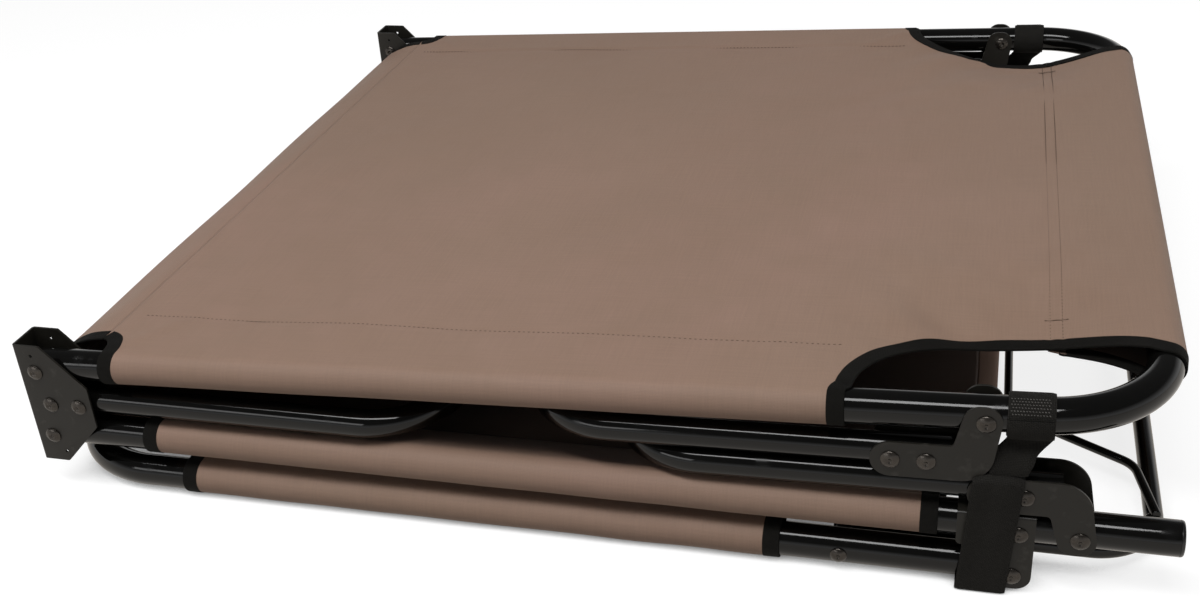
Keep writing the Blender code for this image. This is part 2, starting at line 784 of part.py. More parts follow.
def strap(side, way, body):
    """A strap sewn round the foot tube, with its loop closed round the rest of the stack.
    It is drawn in YZ from the foot tube's centre, outer side to the left, then slanted along X
    as it goes down, with its lower edge level."""
    bore = TUBE_R + STRAP_SLACK
    ring = bore + WEBBING
    inner = PROP_INSET + BOW_R + STRAP_SLACK
    prop_top = from_foot_tube(BOW_R - HEAD_DROP)
    bottom = from_foot_tube(-HEAD_DROP - TUBE_R - GAP)
    top = from_foot_tube(HEAD_LEG_RISE + LEG_PLATE_HALF + STACK_GAP)
    left, right = -RIVET_OUT, RIVET_OUT
    outside = rounded(
        [
            (-ring, ring, ring * 0.97),
            (ring, ring, ring * 0.97),
            (ring, -ring, ring * 0.6),
            (left + WEBBING, top + RIVET_OUT, 0),
            (left + WEBBING, top + WEBBING, 0),
            (right + WEBBING, top + WEBBING, RIVET_HEAD_H),
            (inner + WEBBING, prop_top, RIVET_HEAD_H),
            (inner + WEBBING, bottom - WEBBING, RIVET_HEAD_H),
            (left - WEBBING, bottom - WEBBING, RIVET_HEAD_H),
            (left - WEBBING, top + RIVET_OUT, 0),
        ]
    )
    sides = 12
    flat = bore / math.cos(math.pi / sides)
    eye = [
        (
            flat * math.cos(2 * math.pi * (i + 0.5) / sides),
            flat * math.sin(2 * math.pi * (i + 0.5) / sides),
        )
        for i in range(sides)
    ]
    window = rounded(
        [
            (left, top, WEBBING),
            (right, top, WEBBING),
            (inner, prop_top, WEBBING),
            (inner, bottom, WEBBING),
            (left, bottom, WEBBING),
        ]
    )
    outlines = [[(-way * x, z) for x, z in line] for line in (outside, eye, window)]
    mesh = slab(outlines, STRAP_WIDTH)
    for vert in mesh.vertices:
        drop = max(0.0, vert.co.y / bottom)
        vert.co.y -= drop * vert.co.z * math.tan(FOOT_TILT)
        vert.co.z += STRAP_SLANT * vert.co.y
    place = (STRAP_X, way * HALF_WIDTH, 0)
    add(f"carry_strap_{side}", mesh, body, "webbing_black", place, ACROSS)


def tube_cap(side, way, body):
    """A plastic plug with a domed rim in the open end of a middle tube."""
    bore = TUBE_R - TUBE_WALL - GAP
    rim = CAP_RIM
    profile = [
        (0, rim),
        (TUBE_R * 0.6, rim * 0.93),
        (TUBE_R * 0.92, rim * 0.6),
        (TUBE_R, GAP),
        (bore, GAP),
        (bore, -CAP_PLUG),
        (bore - TUBE_WALL, -CAP_PLUG),
        (bore - TUBE_WALL, CAP_HOLLOW - CAP_PLUG),
        (0, CAP_HOLLOW - CAP_PLUG),
    ]
    mesh = bpy.data.meshes.new("cap_profile")
    mesh.from_pydata(
        [(x, 0, z) for x, z in profile],
        [(i, i + 1) for i in range(len(profile) - 1)],
        [],
    )
    place = (MIDDLE_END_X, way * HALF_WIDTH, 0)
    cap = add(f"tube_cap_{side}", mesh, body, "plastic_black", place, (0, math.pi / 2, 0))
    screw = cap.modifiers.new("turn", "SCREW")
    screw.steps = screw.render_steps = 12
    screw.use_merge_vertices = True
    screw.merge_threshold = WELD


def head_bracket(side, way, body):
    """The saddle over a middle tube whose two arms carry the head section's pivot."""
    inner, outer = CHANNEL_IN, CHANNEL_OUT
    y = way * HALF_WIDTH
    left = HEAD_PIVOT_X - SADDLE_LEFT
    right = HEAD_PIVOT_X + SADDLE_RIGHT
    low = -HEAD_DROP - SADDLE_EYE
    section = rounded(
        [
            (-outer, low, 0),
            (-outer, outer, CHANNEL_BEND),
            (outer, outer, CHANNEL_BEND),
            (outer, low, 0),
            (inner, low, 0),
            (inner, inner, CHANNEL_BEND - PLATE),
            (-inner, inner, CHANNEL_BEND - PLATE),
            (-inner, low, 0),
        ]
    )
    name = f"head_bracket_{side}"
    middle = (left + right) / 2
    bracket = add(
        name, slab([section], right - left + GAP), body, "plate_black", (middle, y, 0), ACROSS
    )
    eye = SADDLE_EYE
    shape = rounded(
        [
            (left, 2 * outer, 0),
            (left, -SADDLE_SKIRT, CHANNEL_BEND),
            (HEAD_PIVOT_X - SADDLE_RIGHT - CHANNEL_BEND, -SADDLE_SKIRT, CHANNEL_BEND),
            (HEAD_PIVOT_X - SADDLE_RIGHT, low, eye),
            (right, low, eye),
            (right, 2 * outer, 0),
        ]
    )
    blank = slab([shape], 3 * outer)
    cut(
        bracket,
        add(name + "_shape", blank, body, place=(0, y, 0), turn=UPRIGHT),
        "INTERSECT",
    )
    holes = [(HEAD_PIVOT_X + x, y, 0) for x in SADDLE_RIVETS_X]
    holes.append((HEAD_PIVOT_X, y, -HEAD_DROP))
    drill(bracket, body, holes, HOLE_R, 3 * outer)


def middle_section(body):
    """Two straight side tubes with their caps, brackets and rivets."""
    for side, way in SIDES:
        y = way * HALF_WIDTH

        def path(grow, y=y):
            return [(-END_R - GAP - grow, y, 0), (MIDDLE_END_X + grow, y, 0)]

        made = tube(f"middle_tube_{side}", body, path, TUBE_R, TUBE_WALL)
        round_end(made, body, "middle_end", (0, 0), -1, [(side, y)])
        places = [0, HEAD_LEG_X] + [HEAD_PIVOT_X + x for x in SADDLE_RIVETS_X]
        drill(made, body, [(x, y, 0) for x in places], HOLE_R, 3 * TUBE_R)
        tube_cap(side, way, body)
        head_bracket(side, way, body)
    rivets("head_bracket_rivet", body, [(HEAD_PIVOT_X + x, 0) for x in SADDLE_RIVETS_X])
    rivets("head_pivot_rivet", body, [(HEAD_PIVOT_X, -HEAD_DROP)])
    middle_canvas(body)


def foot_section(body):
    """The U-shaped foot frame and its canvas and straps."""

    def path(grow):
        return u_path(-END_R - GAP, FOOT_BAR_X, HALF_WIDTH, TUBE_BEND, grow)

    made = tube("foot_frame_tube", body, path, TUBE_R, TUBE_WALL)
    holes = [(x, way * HALF_WIDTH, 0) for x in (0, FOOT_LEG_X) for _, way in SIDES]
    drill(made, body, holes, HOLE_R, 3 * TUBE_R)
    ends = [(side, way * HALF_WIDTH) for side, way in SIDES]
    round_end(made, body, "foot_end", (0, 0), -1, ends)
    foot_canvas(body)
    for side, way in SIDES:
        strap(side, way, body)


def head_section(body):
    """The U-shaped head frame and its canvas, in the frame of the head pivot."""

    def path(grow):
        return u_path(END_R + GAP, HEAD_BAR_X - HEAD_PIVOT_X, HALF_WIDTH, TUBE_BEND, grow)

    made = tube("head_frame_tube", body, path, TUBE_R, TUBE_WALL)
    ends = [(side, way * HALF_WIDTH) for side, way in SIDES]
    round_end(made, body, "head_end", (0, 0), 1, ends)
    holes = [(0, way * HALF_WIDTH, 0) for _, way in SIDES]
    drill(made, body, holes, HOLE_R, 3 * TUBE_R)
    prop_x = PROP_PIVOT_X - HEAD_PIVOT_X
    prop_hole = PROP_RIVET_R + GAP
    holes = [(prop_x, way * HALF_WIDTH, 0) for _, way in SIDES]
    drill(made, body, holes, prop_hole, 3 * TUBE_R, sides=8)
    head_canvas(body)
    outside = TUBE_R + GAP
    inside = PROP_INSET + BOW_R + GAP
    rivet = rivet_mesh(outside + inside, PROP_RIVET_R, PROP_HEAD_R, "rivet_steel")
    spacer_length = PROP_INSET - BOW_R - TUBE_R - 2 * GAP
    for side, way in SIDES:
        y = way * (HALF_WIDTH - (inside - outside) / 2)
        add(f"prop_rivet_{side}", rivet, body, "rivet_steel", (prop_x, y, 0), UPRIGHT)
        ring = [
            [
                (r * math.cos(math.pi * i / 6), r * math.sin(math.pi * i / 6))
                for i in range(12)
            ]
            for r in (SPACER_R, prop_hole / math.cos(math.pi / 12))
        ]
        y = way * (HALF_WIDTH - TUBE_R - GAP - spacer_length / 2)
        add(
            f"prop_spacer_{side}",
            slab(ring, spacer_length),
            body,
            "plastic_black",
            (prop_x, y, 0),
            UPRIGHT,
        )


def head_prop(body):
    """The bow that props the head section, and the rung welded on it, from the prop's pivot."""
    half = HALF_WIDTH - PROP_INSET
    bar = PROP_BAR_X - PROP_PIVOT_X
    bow_mesh = rod(u_path(-BOW_R, bar, half, BOW_BEND), BOW_R, BOW_FACETS)
    bow = add("prop_bow", bow_mesh, body, "tube_black")
    holes = [(0, way * half, 0) for _, way in SIDES]
    drill(bow, body, holes, PROP_RIVET_R + GAP, 3 * BOW_R, sides=8)
    lift = BOW_R + RUNG_R + GAP
    start = Vector((bar, RUNG_START_Y - HALF_WIDTH))
    knee = Vector((RUNG_KNEE_X - PROP_PIVOT_X, RUNG_KNEE_Y - HALF_WIDTH))
    cross = Vector((RUNG_CROSS_X - PROP_PIVOT_X, RUNG_CROSS_Y - HALF_WIDTH))
    middle = Vector((cross.x, 0))
    near = [start]
    for before, corner, after in ((start, knee, cross), (knee, cross, middle)):
        back = corner + (before - corner).normalized() * RUNG_BEND / 2
        ahead = corner + (after - corner).normalized() * RUNG_BEND / 2
        near += [back, (back + ahead + 2 * corner) / 4, ahead]
    path = [(p.x, p.y, lift) for p in near]
    path += [(x, -y, z) for x, y, z in reversed(path)]
    add("prop_rung", rod(path, RUNG_R, BOW_FACETS), body, "tube_black")


def build():
    """Makes the bed, folded, with each moving section on an empty at its pivot."""
    middle = pivot("middle_section", None, (PLACE_X, 0, PLACE_Z))
    fold = pivot("fold_leg", middle)
    foot = pivot("foot_section", fold, (0, 0, FOLD_PITCH), FOOT_TILT)
    foot_leg = pivot("foot_leg", foot, (FOOT_LEG_X, 0, 0), -FOOT_LEG_TILT)
    head_leg = pivot("head_leg", middle, (HEAD_LEG_X, 0, 0), HEAD_LEG_TILT)
    head = pivot("head_section", middle, (HEAD_PIVOT_X, 0, -HEAD_DROP))
    prop = pivot("head_prop", head, (PROP_PIVOT_X - HEAD_PIVOT_X, 0, 0))
    middle_section(middle)
    fold_leg(fold)
    canvas_fold_left(fold)
    foot_section(foot)
    leg("foot_leg", foot_leg, FOOT_LEG_FALL, -1)
    leg("head_leg", head_leg, HEAD_LEG_RISE, 1)
    head_section(head)
    canvas_fold_right(head)
    head_prop(prop)


build()
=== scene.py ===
"""The look of a folding camp bed of three canvas sections, folded flat.

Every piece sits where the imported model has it. Lengths are in metres, X runs along the bed, Y
across it and Z up. Each section has a frame of its own, in which its tubes' centres lie at Z = 0,
and placed() puts such points where the folded section is.
"""

import json
import math

import bmesh
import bpy
import numpy as np
from mathutils import Matrix, Vector
from mathutils.geometry import tessellate_polygon


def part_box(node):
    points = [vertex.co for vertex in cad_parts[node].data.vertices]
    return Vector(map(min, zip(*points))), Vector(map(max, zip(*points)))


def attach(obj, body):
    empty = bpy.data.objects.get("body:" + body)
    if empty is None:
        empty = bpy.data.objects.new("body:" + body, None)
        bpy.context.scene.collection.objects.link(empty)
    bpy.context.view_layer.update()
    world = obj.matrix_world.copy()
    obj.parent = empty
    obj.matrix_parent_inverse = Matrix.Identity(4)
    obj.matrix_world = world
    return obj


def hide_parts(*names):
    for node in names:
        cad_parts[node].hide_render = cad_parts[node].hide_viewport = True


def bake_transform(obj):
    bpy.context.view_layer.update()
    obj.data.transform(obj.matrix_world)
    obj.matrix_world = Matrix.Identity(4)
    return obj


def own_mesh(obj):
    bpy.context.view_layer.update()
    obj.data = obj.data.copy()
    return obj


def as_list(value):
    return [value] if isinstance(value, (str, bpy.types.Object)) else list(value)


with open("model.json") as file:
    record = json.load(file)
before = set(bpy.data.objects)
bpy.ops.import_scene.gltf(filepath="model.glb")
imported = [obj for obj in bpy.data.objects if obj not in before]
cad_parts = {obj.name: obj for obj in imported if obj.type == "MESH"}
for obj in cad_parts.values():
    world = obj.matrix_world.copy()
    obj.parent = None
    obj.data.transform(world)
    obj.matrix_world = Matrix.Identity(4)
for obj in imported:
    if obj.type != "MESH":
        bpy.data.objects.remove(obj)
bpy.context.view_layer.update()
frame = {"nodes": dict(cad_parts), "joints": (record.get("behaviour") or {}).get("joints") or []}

# The studio's lamps: where each is, what it faces, how wide and high it is, and its watts
AMBIENT = 0.1
LAMPS = (
    ("key softbox", (-0.4, -0.95, 2.0), (-0.1, 0.0, 0.05), 2.2, 0.5, 42.0),
    ("top softbox", (0.2, 0.7, 2.0), (0.0, 0.0, 0.05), 1.2, 0.6, 5.0),
    ("front softbox", (-1.0, -1.9, 0.85), (0.0, -0.2, 0.05), 1.3, 0.35, 5.0),
    ("end softbox", (1.7, 0.3, 1.0), (0.4, 0.0, 0.1), 0.9, 0.7, 7.0),
)
MIRRORED_LAMPS = ("key softbox", "front softbox")

# The camera: where it is, its yaw, pitch and roll in degrees, and its lens on a 36 mm sensor
CAMERA_PLACE = (0.25427, -1.05228, 0.59145)
CAMERA_TURN = (-16.4436, -28.8865, -4.1078)
CAMERA_LENS, SENSOR = 42.917, 36.0

SIDES = (("near", -1), ("far", 1))

# Points nearer than MERGED become one, and edges shorter than VANISHED go
MERGED, VANISHED = 2e-6, 1e-7

# Tubes and rods: HALF is from the bed's middle to a side tube's centre; then radius, wall, bend
HALF = 0.330
TUBE_R, TUBE_WALL, TUBE_BEND = 0.011, 0.0012, 0.072
LEG_R, LEG_WALL, LEG_BEND = 0.0095, 0.001, 0.055
LEG_REACH = 0.285
BOW_R, BOW_BEND, RUNG_R = 0.006, 0.040, 0.003

# Plates and rivets: a plate's thickness, its middle's distance from the tube's centre, its bend
PLATE = 0.0016
CHEEK = 0.0114 + PLATE / 2
PLATE_BEND = 0.0014
RIVET_OUT = 0.0163
RIVET_GRIP, RIVET_RISE = 0.0266, 0.0027

# Places along X from the fold pivot
FOOT_BAR, MIDDLE_END, HEAD_PIVOT, HEAD_BAR = 0.738, 0.749, 0.656, -0.0093
PROP_PIVOT, PROP_BAR = 0.552, 0.7425
PROP_INSET = RIVET_OUT + BOW_R
FOOT_SLEEVE = (0.050, 0.553)
MIDDLE_SLEEVE = (0.072, 0.610)
HEAD_SLEEVE = (0.096, 0.514)
STRIP_START = 0.040
HINGE_END, HINGE_NOSE = HEAD_PIVOT - 0.026, HEAD_PIVOT - 0.012

# Cloth: its thickness, how far its middle lies from a tube's centre, how far in the seams are
CLOTH = 0.0010
SKIN = TUBE_R + 0.00062
SEAM, END_SEAM = 0.050, 0.068
SEAM_ROWS = (END_SEAM - 0.0015, END_SEAM - 0.009)
CUT_DEPTH, CUT_END = 0.0745, 0.0585
STRIP = 0.3135
HINGE_STRIP = HALF - 0.060

# How deep the free edges sag, and the flat's low wrinkles: height, wavelength, the way their crests
# run and how much that varies
FOOT_SAG, HEAD_SAG = 0.0128, 0.004
WRINKLES = ((0.00045, 0.16, 1.2, 0.5), (0.00012, 0.045, 0.5, 0.9))

# Straps: each part's place along X, its width and thickness, and how far it leans along X per
# metre of height
RING_X, NECK_X, LOOP_X = 0.6597, 0.6500, 0.6431
RING_WIDE, NECK_WIDE, NECK_END, LOOP_WIDE = 0.0265, 0.0264, 0.0219, 0.0298
WEBBING_THICK, NECK_THICK = 0.0011, 0.0014
RING_LEAN, LOOP_LEAN = 0.03, 0.111
RING_TO = 0.700  # the place along X at which the ring's anchor point is worked out


def frames():
    """Where each section's frame is: its origin in the bed's frame, and its tilt about Y."""
    joint = {j["name"]: j for j in frame["joints"]}
    at = {name: np.array(j["pos_m"], float) for name, j in joint.items()}
    over = {name: math.radians(j["range_deg"][1] - 90) for name, j in joint.items()}
    fold, foot, foot_leg = at["fold_hinge"], at["foot_hinge"], at["foot_leg_hinge"]
    tilt = math.atan2(foot_leg[2] - foot[2], foot_leg[0] - foot[0])
    return {
        "middle_section": (fold, 0.0),
        "fold_leg": (fold + (foot - fold) / 2, 0.0),
        "foot_section": (foot, tilt),
        "foot_leg": (foot_leg, tilt - over["foot_leg_hinge"]),
        "head_leg": (at["head_leg_hinge"], over["head_leg_hinge"]),
        "head_section": (at["head_hinge"], 0.0),
        "head_prop": (at["prop_hinge"], 0.0),
    }


FRAMES = frames()
PITCH = 2 * (FRAMES["fold_leg"][0] - FRAMES["middle_section"][0])[2]
DROP = (FRAMES["middle_section"][0] - FRAMES["head_section"][0])[2]
TILT = FRAMES["foot_section"][1]


def placed(points, section):
    """Points of a section's frame turned by its tilt about Y and moved to its origin."""
    origin, tilt = FRAMES[section]
    x, y, z = np.moveaxis(np.asarray(points, float), -1, 0)
    c, s = math.cos(tilt), math.sin(tilt)
    return columns(x * c - z * s, y, x * s + z * c) + origin


# ------------------------------------------------------------------ meshes


def columns(*parts):
    """Points from their coordinates, of which some may be one number for all."""
    return np.stack(np.broadcast_arrays(*parts), -1)


def unit(vectors):
    """Vectors brought to length 1."""
    return vectors / np.linalg.norm(vectors, axis=-1, keepdims=True)


def looped(line):
    """A line with its first point once more at its end."""
    return np.concatenate([line, line[:1]])


def part_of(x, start, end):
    """How far x is from start to end, from 0 to 1."""
    return np.clip((x - start) / (end - start), 0, 1)


def measured(node):
    """The middle and the size of a CAD node's box."""
    low, high = (np.array(v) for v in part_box(node))
    return (low + high) / 2, high - low


def sampled(at, s, line):
    """The points of a flat line at some lengths, where its own points lie at the lengths s."""
    return columns(*(np.interp(at, s, line[:, k]) for k in (0, 1)))


def grid_faces(rows, cols):
    """The four corners of each cell of a rows by cols grid of points."""
    i = np.arange(rows * cols).reshape(rows, cols)
    return columns(i[:-1, :-1], i[:-1, 1:], i[1:, 1:], i[1:, :-1]).reshape(-1, 4)


def end_faces(rows, cols):
    """A face over the first and the last row of a grid whose rows are closed outlines."""
    return [[r * cols + c for c in range(cols - 1)] for r in (0, rows - 1)]


def joined(shells):
    """The points, the faces and, where they have any, the uv pairs of several shells in one."""
    points, faces, uv, count = [], [], [], 0
    for part, cells, *flat in shells:
        points.append(np.asarray(part, float).reshape(-1, 3))
        uv += [np.asarray(pairs, float).reshape(-1, 2) for pairs in flat]
        cells = cells.tolist() if isinstance(cells, np.ndarray) else cells
        faces += [[i + count for i in cell] for cell in cells]
        count += len(points[-1])
    return np.concatenate(points), faces, np.concatenate(uv) if uv else None


def shown(name, data):
    """An object of some data, in the scene."""
    made = bpy.data.objects.new(name, data)
    bpy.context.scene.collection.objects.link(made)
    return made


def put(name, body, shells, paint, nodes=(), section=None, closed=False, welded=False, sharp=None):
    """Makes one piece of shells, each of points, faces and sometimes a uv pair for each point, and
    lets it ride on a body in place of CAD nodes. The points are in the bed's frame or a section's.
    welded merges the doubles, and closed turns the faces out too."""
    points, faces, uv = joined(shells)
    if section:
        points = placed(points, section)
    mesh = bpy.data.meshes.new(name)
    mesh.from_pydata(points.tolist(), [], faces)
    if uv is not None:
        corner = np.zeros(len(mesh.loops), np.int32)
        mesh.loops.foreach_get("vertex_index", corner)
        layer = mesh.uv_layers.new(name="cloth")
        layer.data.foreach_set("uv", uv.astype(np.float32)[corner].ravel())
    if closed or welded:
        bm = bmesh.new()
        bm.from_mesh(mesh)
        bmesh.ops.remove_doubles(bm, verts=bm.verts, dist=MERGED)
        bmesh.ops.dissolve_degenerate(bm, edges=bm.edges, dist=VANISHED)
        if closed:
            bmesh.ops.recalc_face_normals(bm, faces=bm.faces)
        bm.to_mesh(mesh)
        bm.free()
    mesh.materials.append(paint)
    mesh.shade_smooth()
    if sharp:
        mesh.set_sharp_from_angle(angle=math.radians(sharp))
    piece = shown(name, mesh)
    if body:
        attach(piece, body)
    if nodes:
        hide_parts(*nodes)
    return piece


def rounded(corners, steps=8):
    """A closed outline through corners (x, y, radius), each replaced by an arc that touches
    both of its sides."""
    out = []
    for i, (x, y, r) in enumerate(corners):
        here = np.array((x, y), float)
        before = unit(np.array(corners[i - 1][:2]) - here)
        after = unit(np.array(corners[(i + 1) % len(corners)][:2]) - here)
        if r <= 0:
            out.append(here[None])
            continue
        half = math.acos(np.clip(before @ after, -1, 1)) / 2
        centre = here + unit(before + after) * r / math.sin(half)
        first = here + before * r / math.tan(half) - centre
        last = here + after * r / math.tan(half) - centre
        turn = math.atan2(first[0] * last[1] - first[1] * last[0], first @ last)
        a = np.linspace(0, turn, steps + 1)[:, None]
        swept = first * np.cos(a) + np.array((-first[1], first[0])) * np.sin(a)
        out.append(centre + swept)
    return np.concatenate(out)


def u_line(end, bar, half, bend, steps=28):
    """A U in plan as points (x, y): straight from end at y = -half, a quarter circle of radius
    bend, straight across at x = bar, and the mirror image of all that back to end."""
    way = np.sign(bar - end)
    a = np.linspace(0, math.pi / 2, steps + 1)
    corner = columns(bar - way * bend * (1 - np.sin(a)), -half + bend * (1 - np.cos(a)))
    straight = columns(np.linspace(end, corner[0, 0], 8)[:-1], -half)
    cross = columns(bar, np.linspace(corner[-1, 1], 0, 6)[1:])
    near = np.concatenate([straight, corner, cross])
    return np.concatenate([near, near[-2::-1] * (1, -1)])


def length_along(line):
    """How far along a line each of its points is."""
    step = np.linalg.norm(np.diff(line, axis=0), axis=1)
    return np.concatenate([[0], np.cumsum(step)])


def pipe(line, radius, wall=0.0, sides=36, depth=0.026, cut_end=(False, False)):
    """A tube along a plan line (x, y) at height 0. Each row is a circle of its radius round the
    line. The end rows roll over the lip and go down the bore to a closed bottom, or shut a solid
    rod. A cut end is set back by R - sqrt(R^2 - h^2) at height h, a half round about its pivot."""
    line = np.asarray(line, float)
    s = length_along(line)
    reach = 0.012
    lip = radius - wall if wall else radius * 0.55
    rim = min(0.0003, radius * 0.1) if wall else radius * 0.22
    start = [(depth, 0.0), (depth, lip), (rim, lip)] if wall else [(0, 0.0), (0, lip)]
    start += [(0, lip + rim if wall else radius - rim), (rim * 0.3, radius - rim * 0.3)]
    start += [(rim, radius)]
    if cut_end[0]:
        start += [(reach, radius)]
    finish = [(s[-1] - d, r) for d, r in reversed(start)]
    inner = [(d, radius) for d in s if reach + 0.001 < d < s[-1] - reach - 0.001]
    rows = np.array(start + inner + finish)
    place = sampled(rows[:, 0], s, line)
    flow = unit(sampled(rows[:, 0], s, np.gradient(line, s, axis=0)))
    a = np.linspace(0, 2 * math.pi, sides + 1)
    side = rows[:, 1, None] * np.cos(a)
    height = rows[:, 1, None] * np.sin(a)
    x = place[:, :1] + flow[:, 1:] * side
    y = place[:, 1:] - flow[:, :1] * side
    back = TUBE_R - np.sqrt(np.maximum(TUBE_R**2 - height**2, 0))
    from_end = rows[:, 0], s[-1] - rows[:, 0]
    for cut, way, away in zip(cut_end, (1, -1), from_end):
        near = away < reach - 0.001
        if cut:
            x += np.where(near[:, None], way * back * flow[:, :1], 0)
            y += np.where(near[:, None], way * back * flow[:, 1:], 0)
    points = columns(x, y, height)
    return points, grid_faces(*points.shape[:2])


def tube(name, node, body, line, radius, wall, rise=0.0, **more):
    """A tube of a section, in place of its CAD node."""
    points, faces = pipe(line, radius, wall, **more)
    points[..., 2] += rise
    put(name, body, [(points, faces)], GLOSS, [node], body, closed=True, sharp=50)


def sheet_metal(name, body, shells, nodes):
    """Flat or bent plate: open faces given a wall and small rounded edges."""
    piece = put(name, body, shells, SATIN, nodes, body, closed=True)
    wall = piece.modifiers.new("wall", "SOLIDIFY")
    wall.thickness = PLATE
    wall.offset = 0
    edge = piece.modifiers.new("edges", "BEVEL")
    edge.width = 0.00035
    edge.segments = 2
    edge.limit_method = "ANGLE"
    edge.angle_limit = math.radians(40)
    edge.harden_normals = True


def filled(outlines):
    """Triangles that fill the first outline and leave the others open, in the plane (x, y)."""
    loops = [[Vector((x, y, 0)) for x, y in line] for line in outlines]
    cells = tessellate_polygon(loops)
    return np.concatenate(outlines), np.array(cells)


def upright(outline_and_cells, y):
    """A flat shape drawn in (x, y), stood up in the plane X Z at that y."""
    flat, cells = outline_and_cells
    return columns(flat[:, 0], y, flat[:, 1]), cells


def circle(x, y, r, count=20):
    a = np.linspace(0, 2 * math.pi, count, endpoint=False)
    return columns(x + r * np.cos(a), y + r * np.sin(a))


def turned(profile, sides, centre, axis="y"):
    """A solid of revolution: the profile's (radius, height) swung round an axis along Y or X
    through centre."""
    profile = np.asarray(profile, float)
    a = np.linspace(0, 2 * math.pi, sides + 1)
    r = profile[:, :1]
    c, s, h = r * np.cos(a), r * np.sin(a), profile[:, 1:] + 0 * a
    points = columns(*((c, h, s) if axis == "y" else (h, c, s))) + centre
    return points, grid_faces(*points.shape[:2])


# ------------------------------------------------------------------ paint


def plug(tree, socket, value):
    """Gives an input its value: another socket is linked, and a colour has three numbers."""
    if isinstance(value, bpy.types.NodeSocket):
        tree.links.new(value, socket)
    else:
        socket.default_value = (*value, 1) if socket.type == "RGBA" else value


def feed(tree, node, **values):
    """Gives a node's inputs their values by name, with _ for a space."""
    for title, value in values.items():
        plug(tree, node.inputs[title.replace("_", " ")], value)
    return node


def add(tree, kind, **values):
    """A new shader node of a kind, with its inputs."""
    return feed(tree, tree.nodes.new("ShaderNode" + kind), **values)


def math_node(tree, how, *values):
    """The result of one step of arithmetic."""
    node = add(tree, "Math")
    node.operation = how
    for socket, value in zip(node.inputs, values):
        plug(tree, socket, value)
    return node.outputs[0]


def times(tree, *values):
    return math_node(tree, "MULTIPLY", *values)


def plus(tree, *values):
    return math_node(tree, "ADD", *values)


def noise(tree, vector, scale, detail=3.0, rough=0.55, stretch=None):
    """A noise texture's value, on coordinates that stretch scales first."""
    if stretch:
        vector = add(tree, "Mapping", Vector=vector, Scale=stretch).outputs[0]
    values = {"Vector": vector, "Scale": scale, "Detail": detail, "Roughness": rough}
    return add(tree, "TexNoise", **values).outputs[0]


def span(tree, value, low, high, to_low=0.0, to_high=1.0):
    """A value taken from one range to another, and kept in it."""
    ranges = {"From_Min": low, "From_Max": high, "To_Min": to_low, "To_Max": to_high}
    return add(tree, "MapRange", Value=value, **ranges).outputs[0]


def tint(tree, factor, dark, light):
    """A colour between two, by a factor."""
    mix = add(tree, "Mix")
    mix.data_type = "RGBA"
    return feed(tree, mix, Factor=factor, A=dark, B=light).outputs["Result"]


def bump(tree, shader, height, distance, strength):
    raised = add(tree, "Bump", Height=height, Distance=distance, Strength=strength)
    feed(tree, shader, Normal=raised.outputs[0])


def group(name, result, **inputs):
    """An empty node group that makes one number of a vector and some numbers, given with their
    usual values. Returns it with its input and output nodes."""
    made = bpy.data.node_groups.new(name, "ShaderNodeTree")
    made.interface.new_socket("Vector", in_out="INPUT", socket_type="NodeSocketVector")
    for title, value in inputs.items():
        title = title.replace("_", " ")
        socket = made.interface.new_socket(title, in_out="INPUT", socket_type="NodeSocketFloat")
        socket.default_value = value
    made.interface.new_socket(result, in_out="OUTPUT", socket_type="NodeSocketFloat")
    return made, made.nodes.new("NodeGroupInput"), made.nodes.new("NodeGroupOutput")


def weave_group():
    """Plain weave: threads of a given width go over and under each other in both directions.
    The height is the rounded top of whichever thread is on top in that cell."""
    made, start, end = group("plain weave", "Height", Threads_per_metre=900.0)
    split = add(made, "SeparateXYZ", Vector=start.outputs["Vector"])
    waves = []
    for k in (0, 1):
        turns = times(made, split.outputs[k], start.outputs["Threads per metre"])
        waves.append(math_node(made, "SINE", times(made, turns, math.pi)))
    top = span(made, times(made, *waves), -0.05, 0.05)
    across, along = (math_node(made, "ABSOLUTE", wave) for wave in waves)
    mix = add(made, "Mix", Factor=top, A=across, B=along)
    feed(made, end, Height=mix.outputs["Result"])
    return made


def blotch_group():
    """Cloudy variation: large soft noise, with finer noise on it, round a middle of 0.5."""
    made, start, end = group("blotches", "Value", Large=6.0, Fine=60.0)
    values = []
    for title, share in (("Large", 0.65), ("Fine", 0.35)):
        cloud = noise(made, start.outputs["Vector"], start.outputs[title], 4.0, 0.5)
        values.append(times(made, cloud, share))
    feed(made, end, Value=plus(made, *values))
    return made


def scuff_group():
    """Fine scratches: noise pulled long in one direction, of which only the peaks are left."""
    made, start, end = group("scuffs", "Mask", Scale=60.0)
    masks = []
    for turn in (0.35, 1.9):
        mapping = add(made, "Mapping", Rotation=(0.3, turn, turn), Scale=(1.0, 0.06, 1.0))
        feed(made, mapping, Vector=start.outputs["Vector"])
        scratch = noise(made, mapping.outputs[0], start.outputs["Scale"], 6.0, 0.5)
        masks.append(span(made, scratch, 0.62, 0.72))
    feed(made, end, Mask=math_node(made, "MAXIMUM", *masks))
    return made


WEAVE, BLOTCH, SCUFF = weave_group(), blotch_group(), scuff_group()


def use(tree, made, vector, **values):
    """Places a node group with its own values and gives its result."""
    node = add(tree, "Group")
    node.node_tree = made
    return feed(tree, node, Vector=vector, **values).outputs[0]


def paint(name, colour, roughness, coordinate="Object", **sockets):
    """A Principled material. Returns the material, its tree, its shader and its coordinates."""
    made = bpy.data.materials.new(name)
    made.use_nodes = True
    tree = made.node_tree
    shader = tree.nodes["Principled BSDF"]
    feed(tree, shader, Base_Color=colour, Roughness=roughness, **sockets)
    if coordinate == "Object":
        return made, tree, shader, add(tree, "TexCoord").outputs["Object"]
    node = add(tree, "UVMap")
    node.uv_map = coordinate
    return made, tree, shader, node.outputs[0]


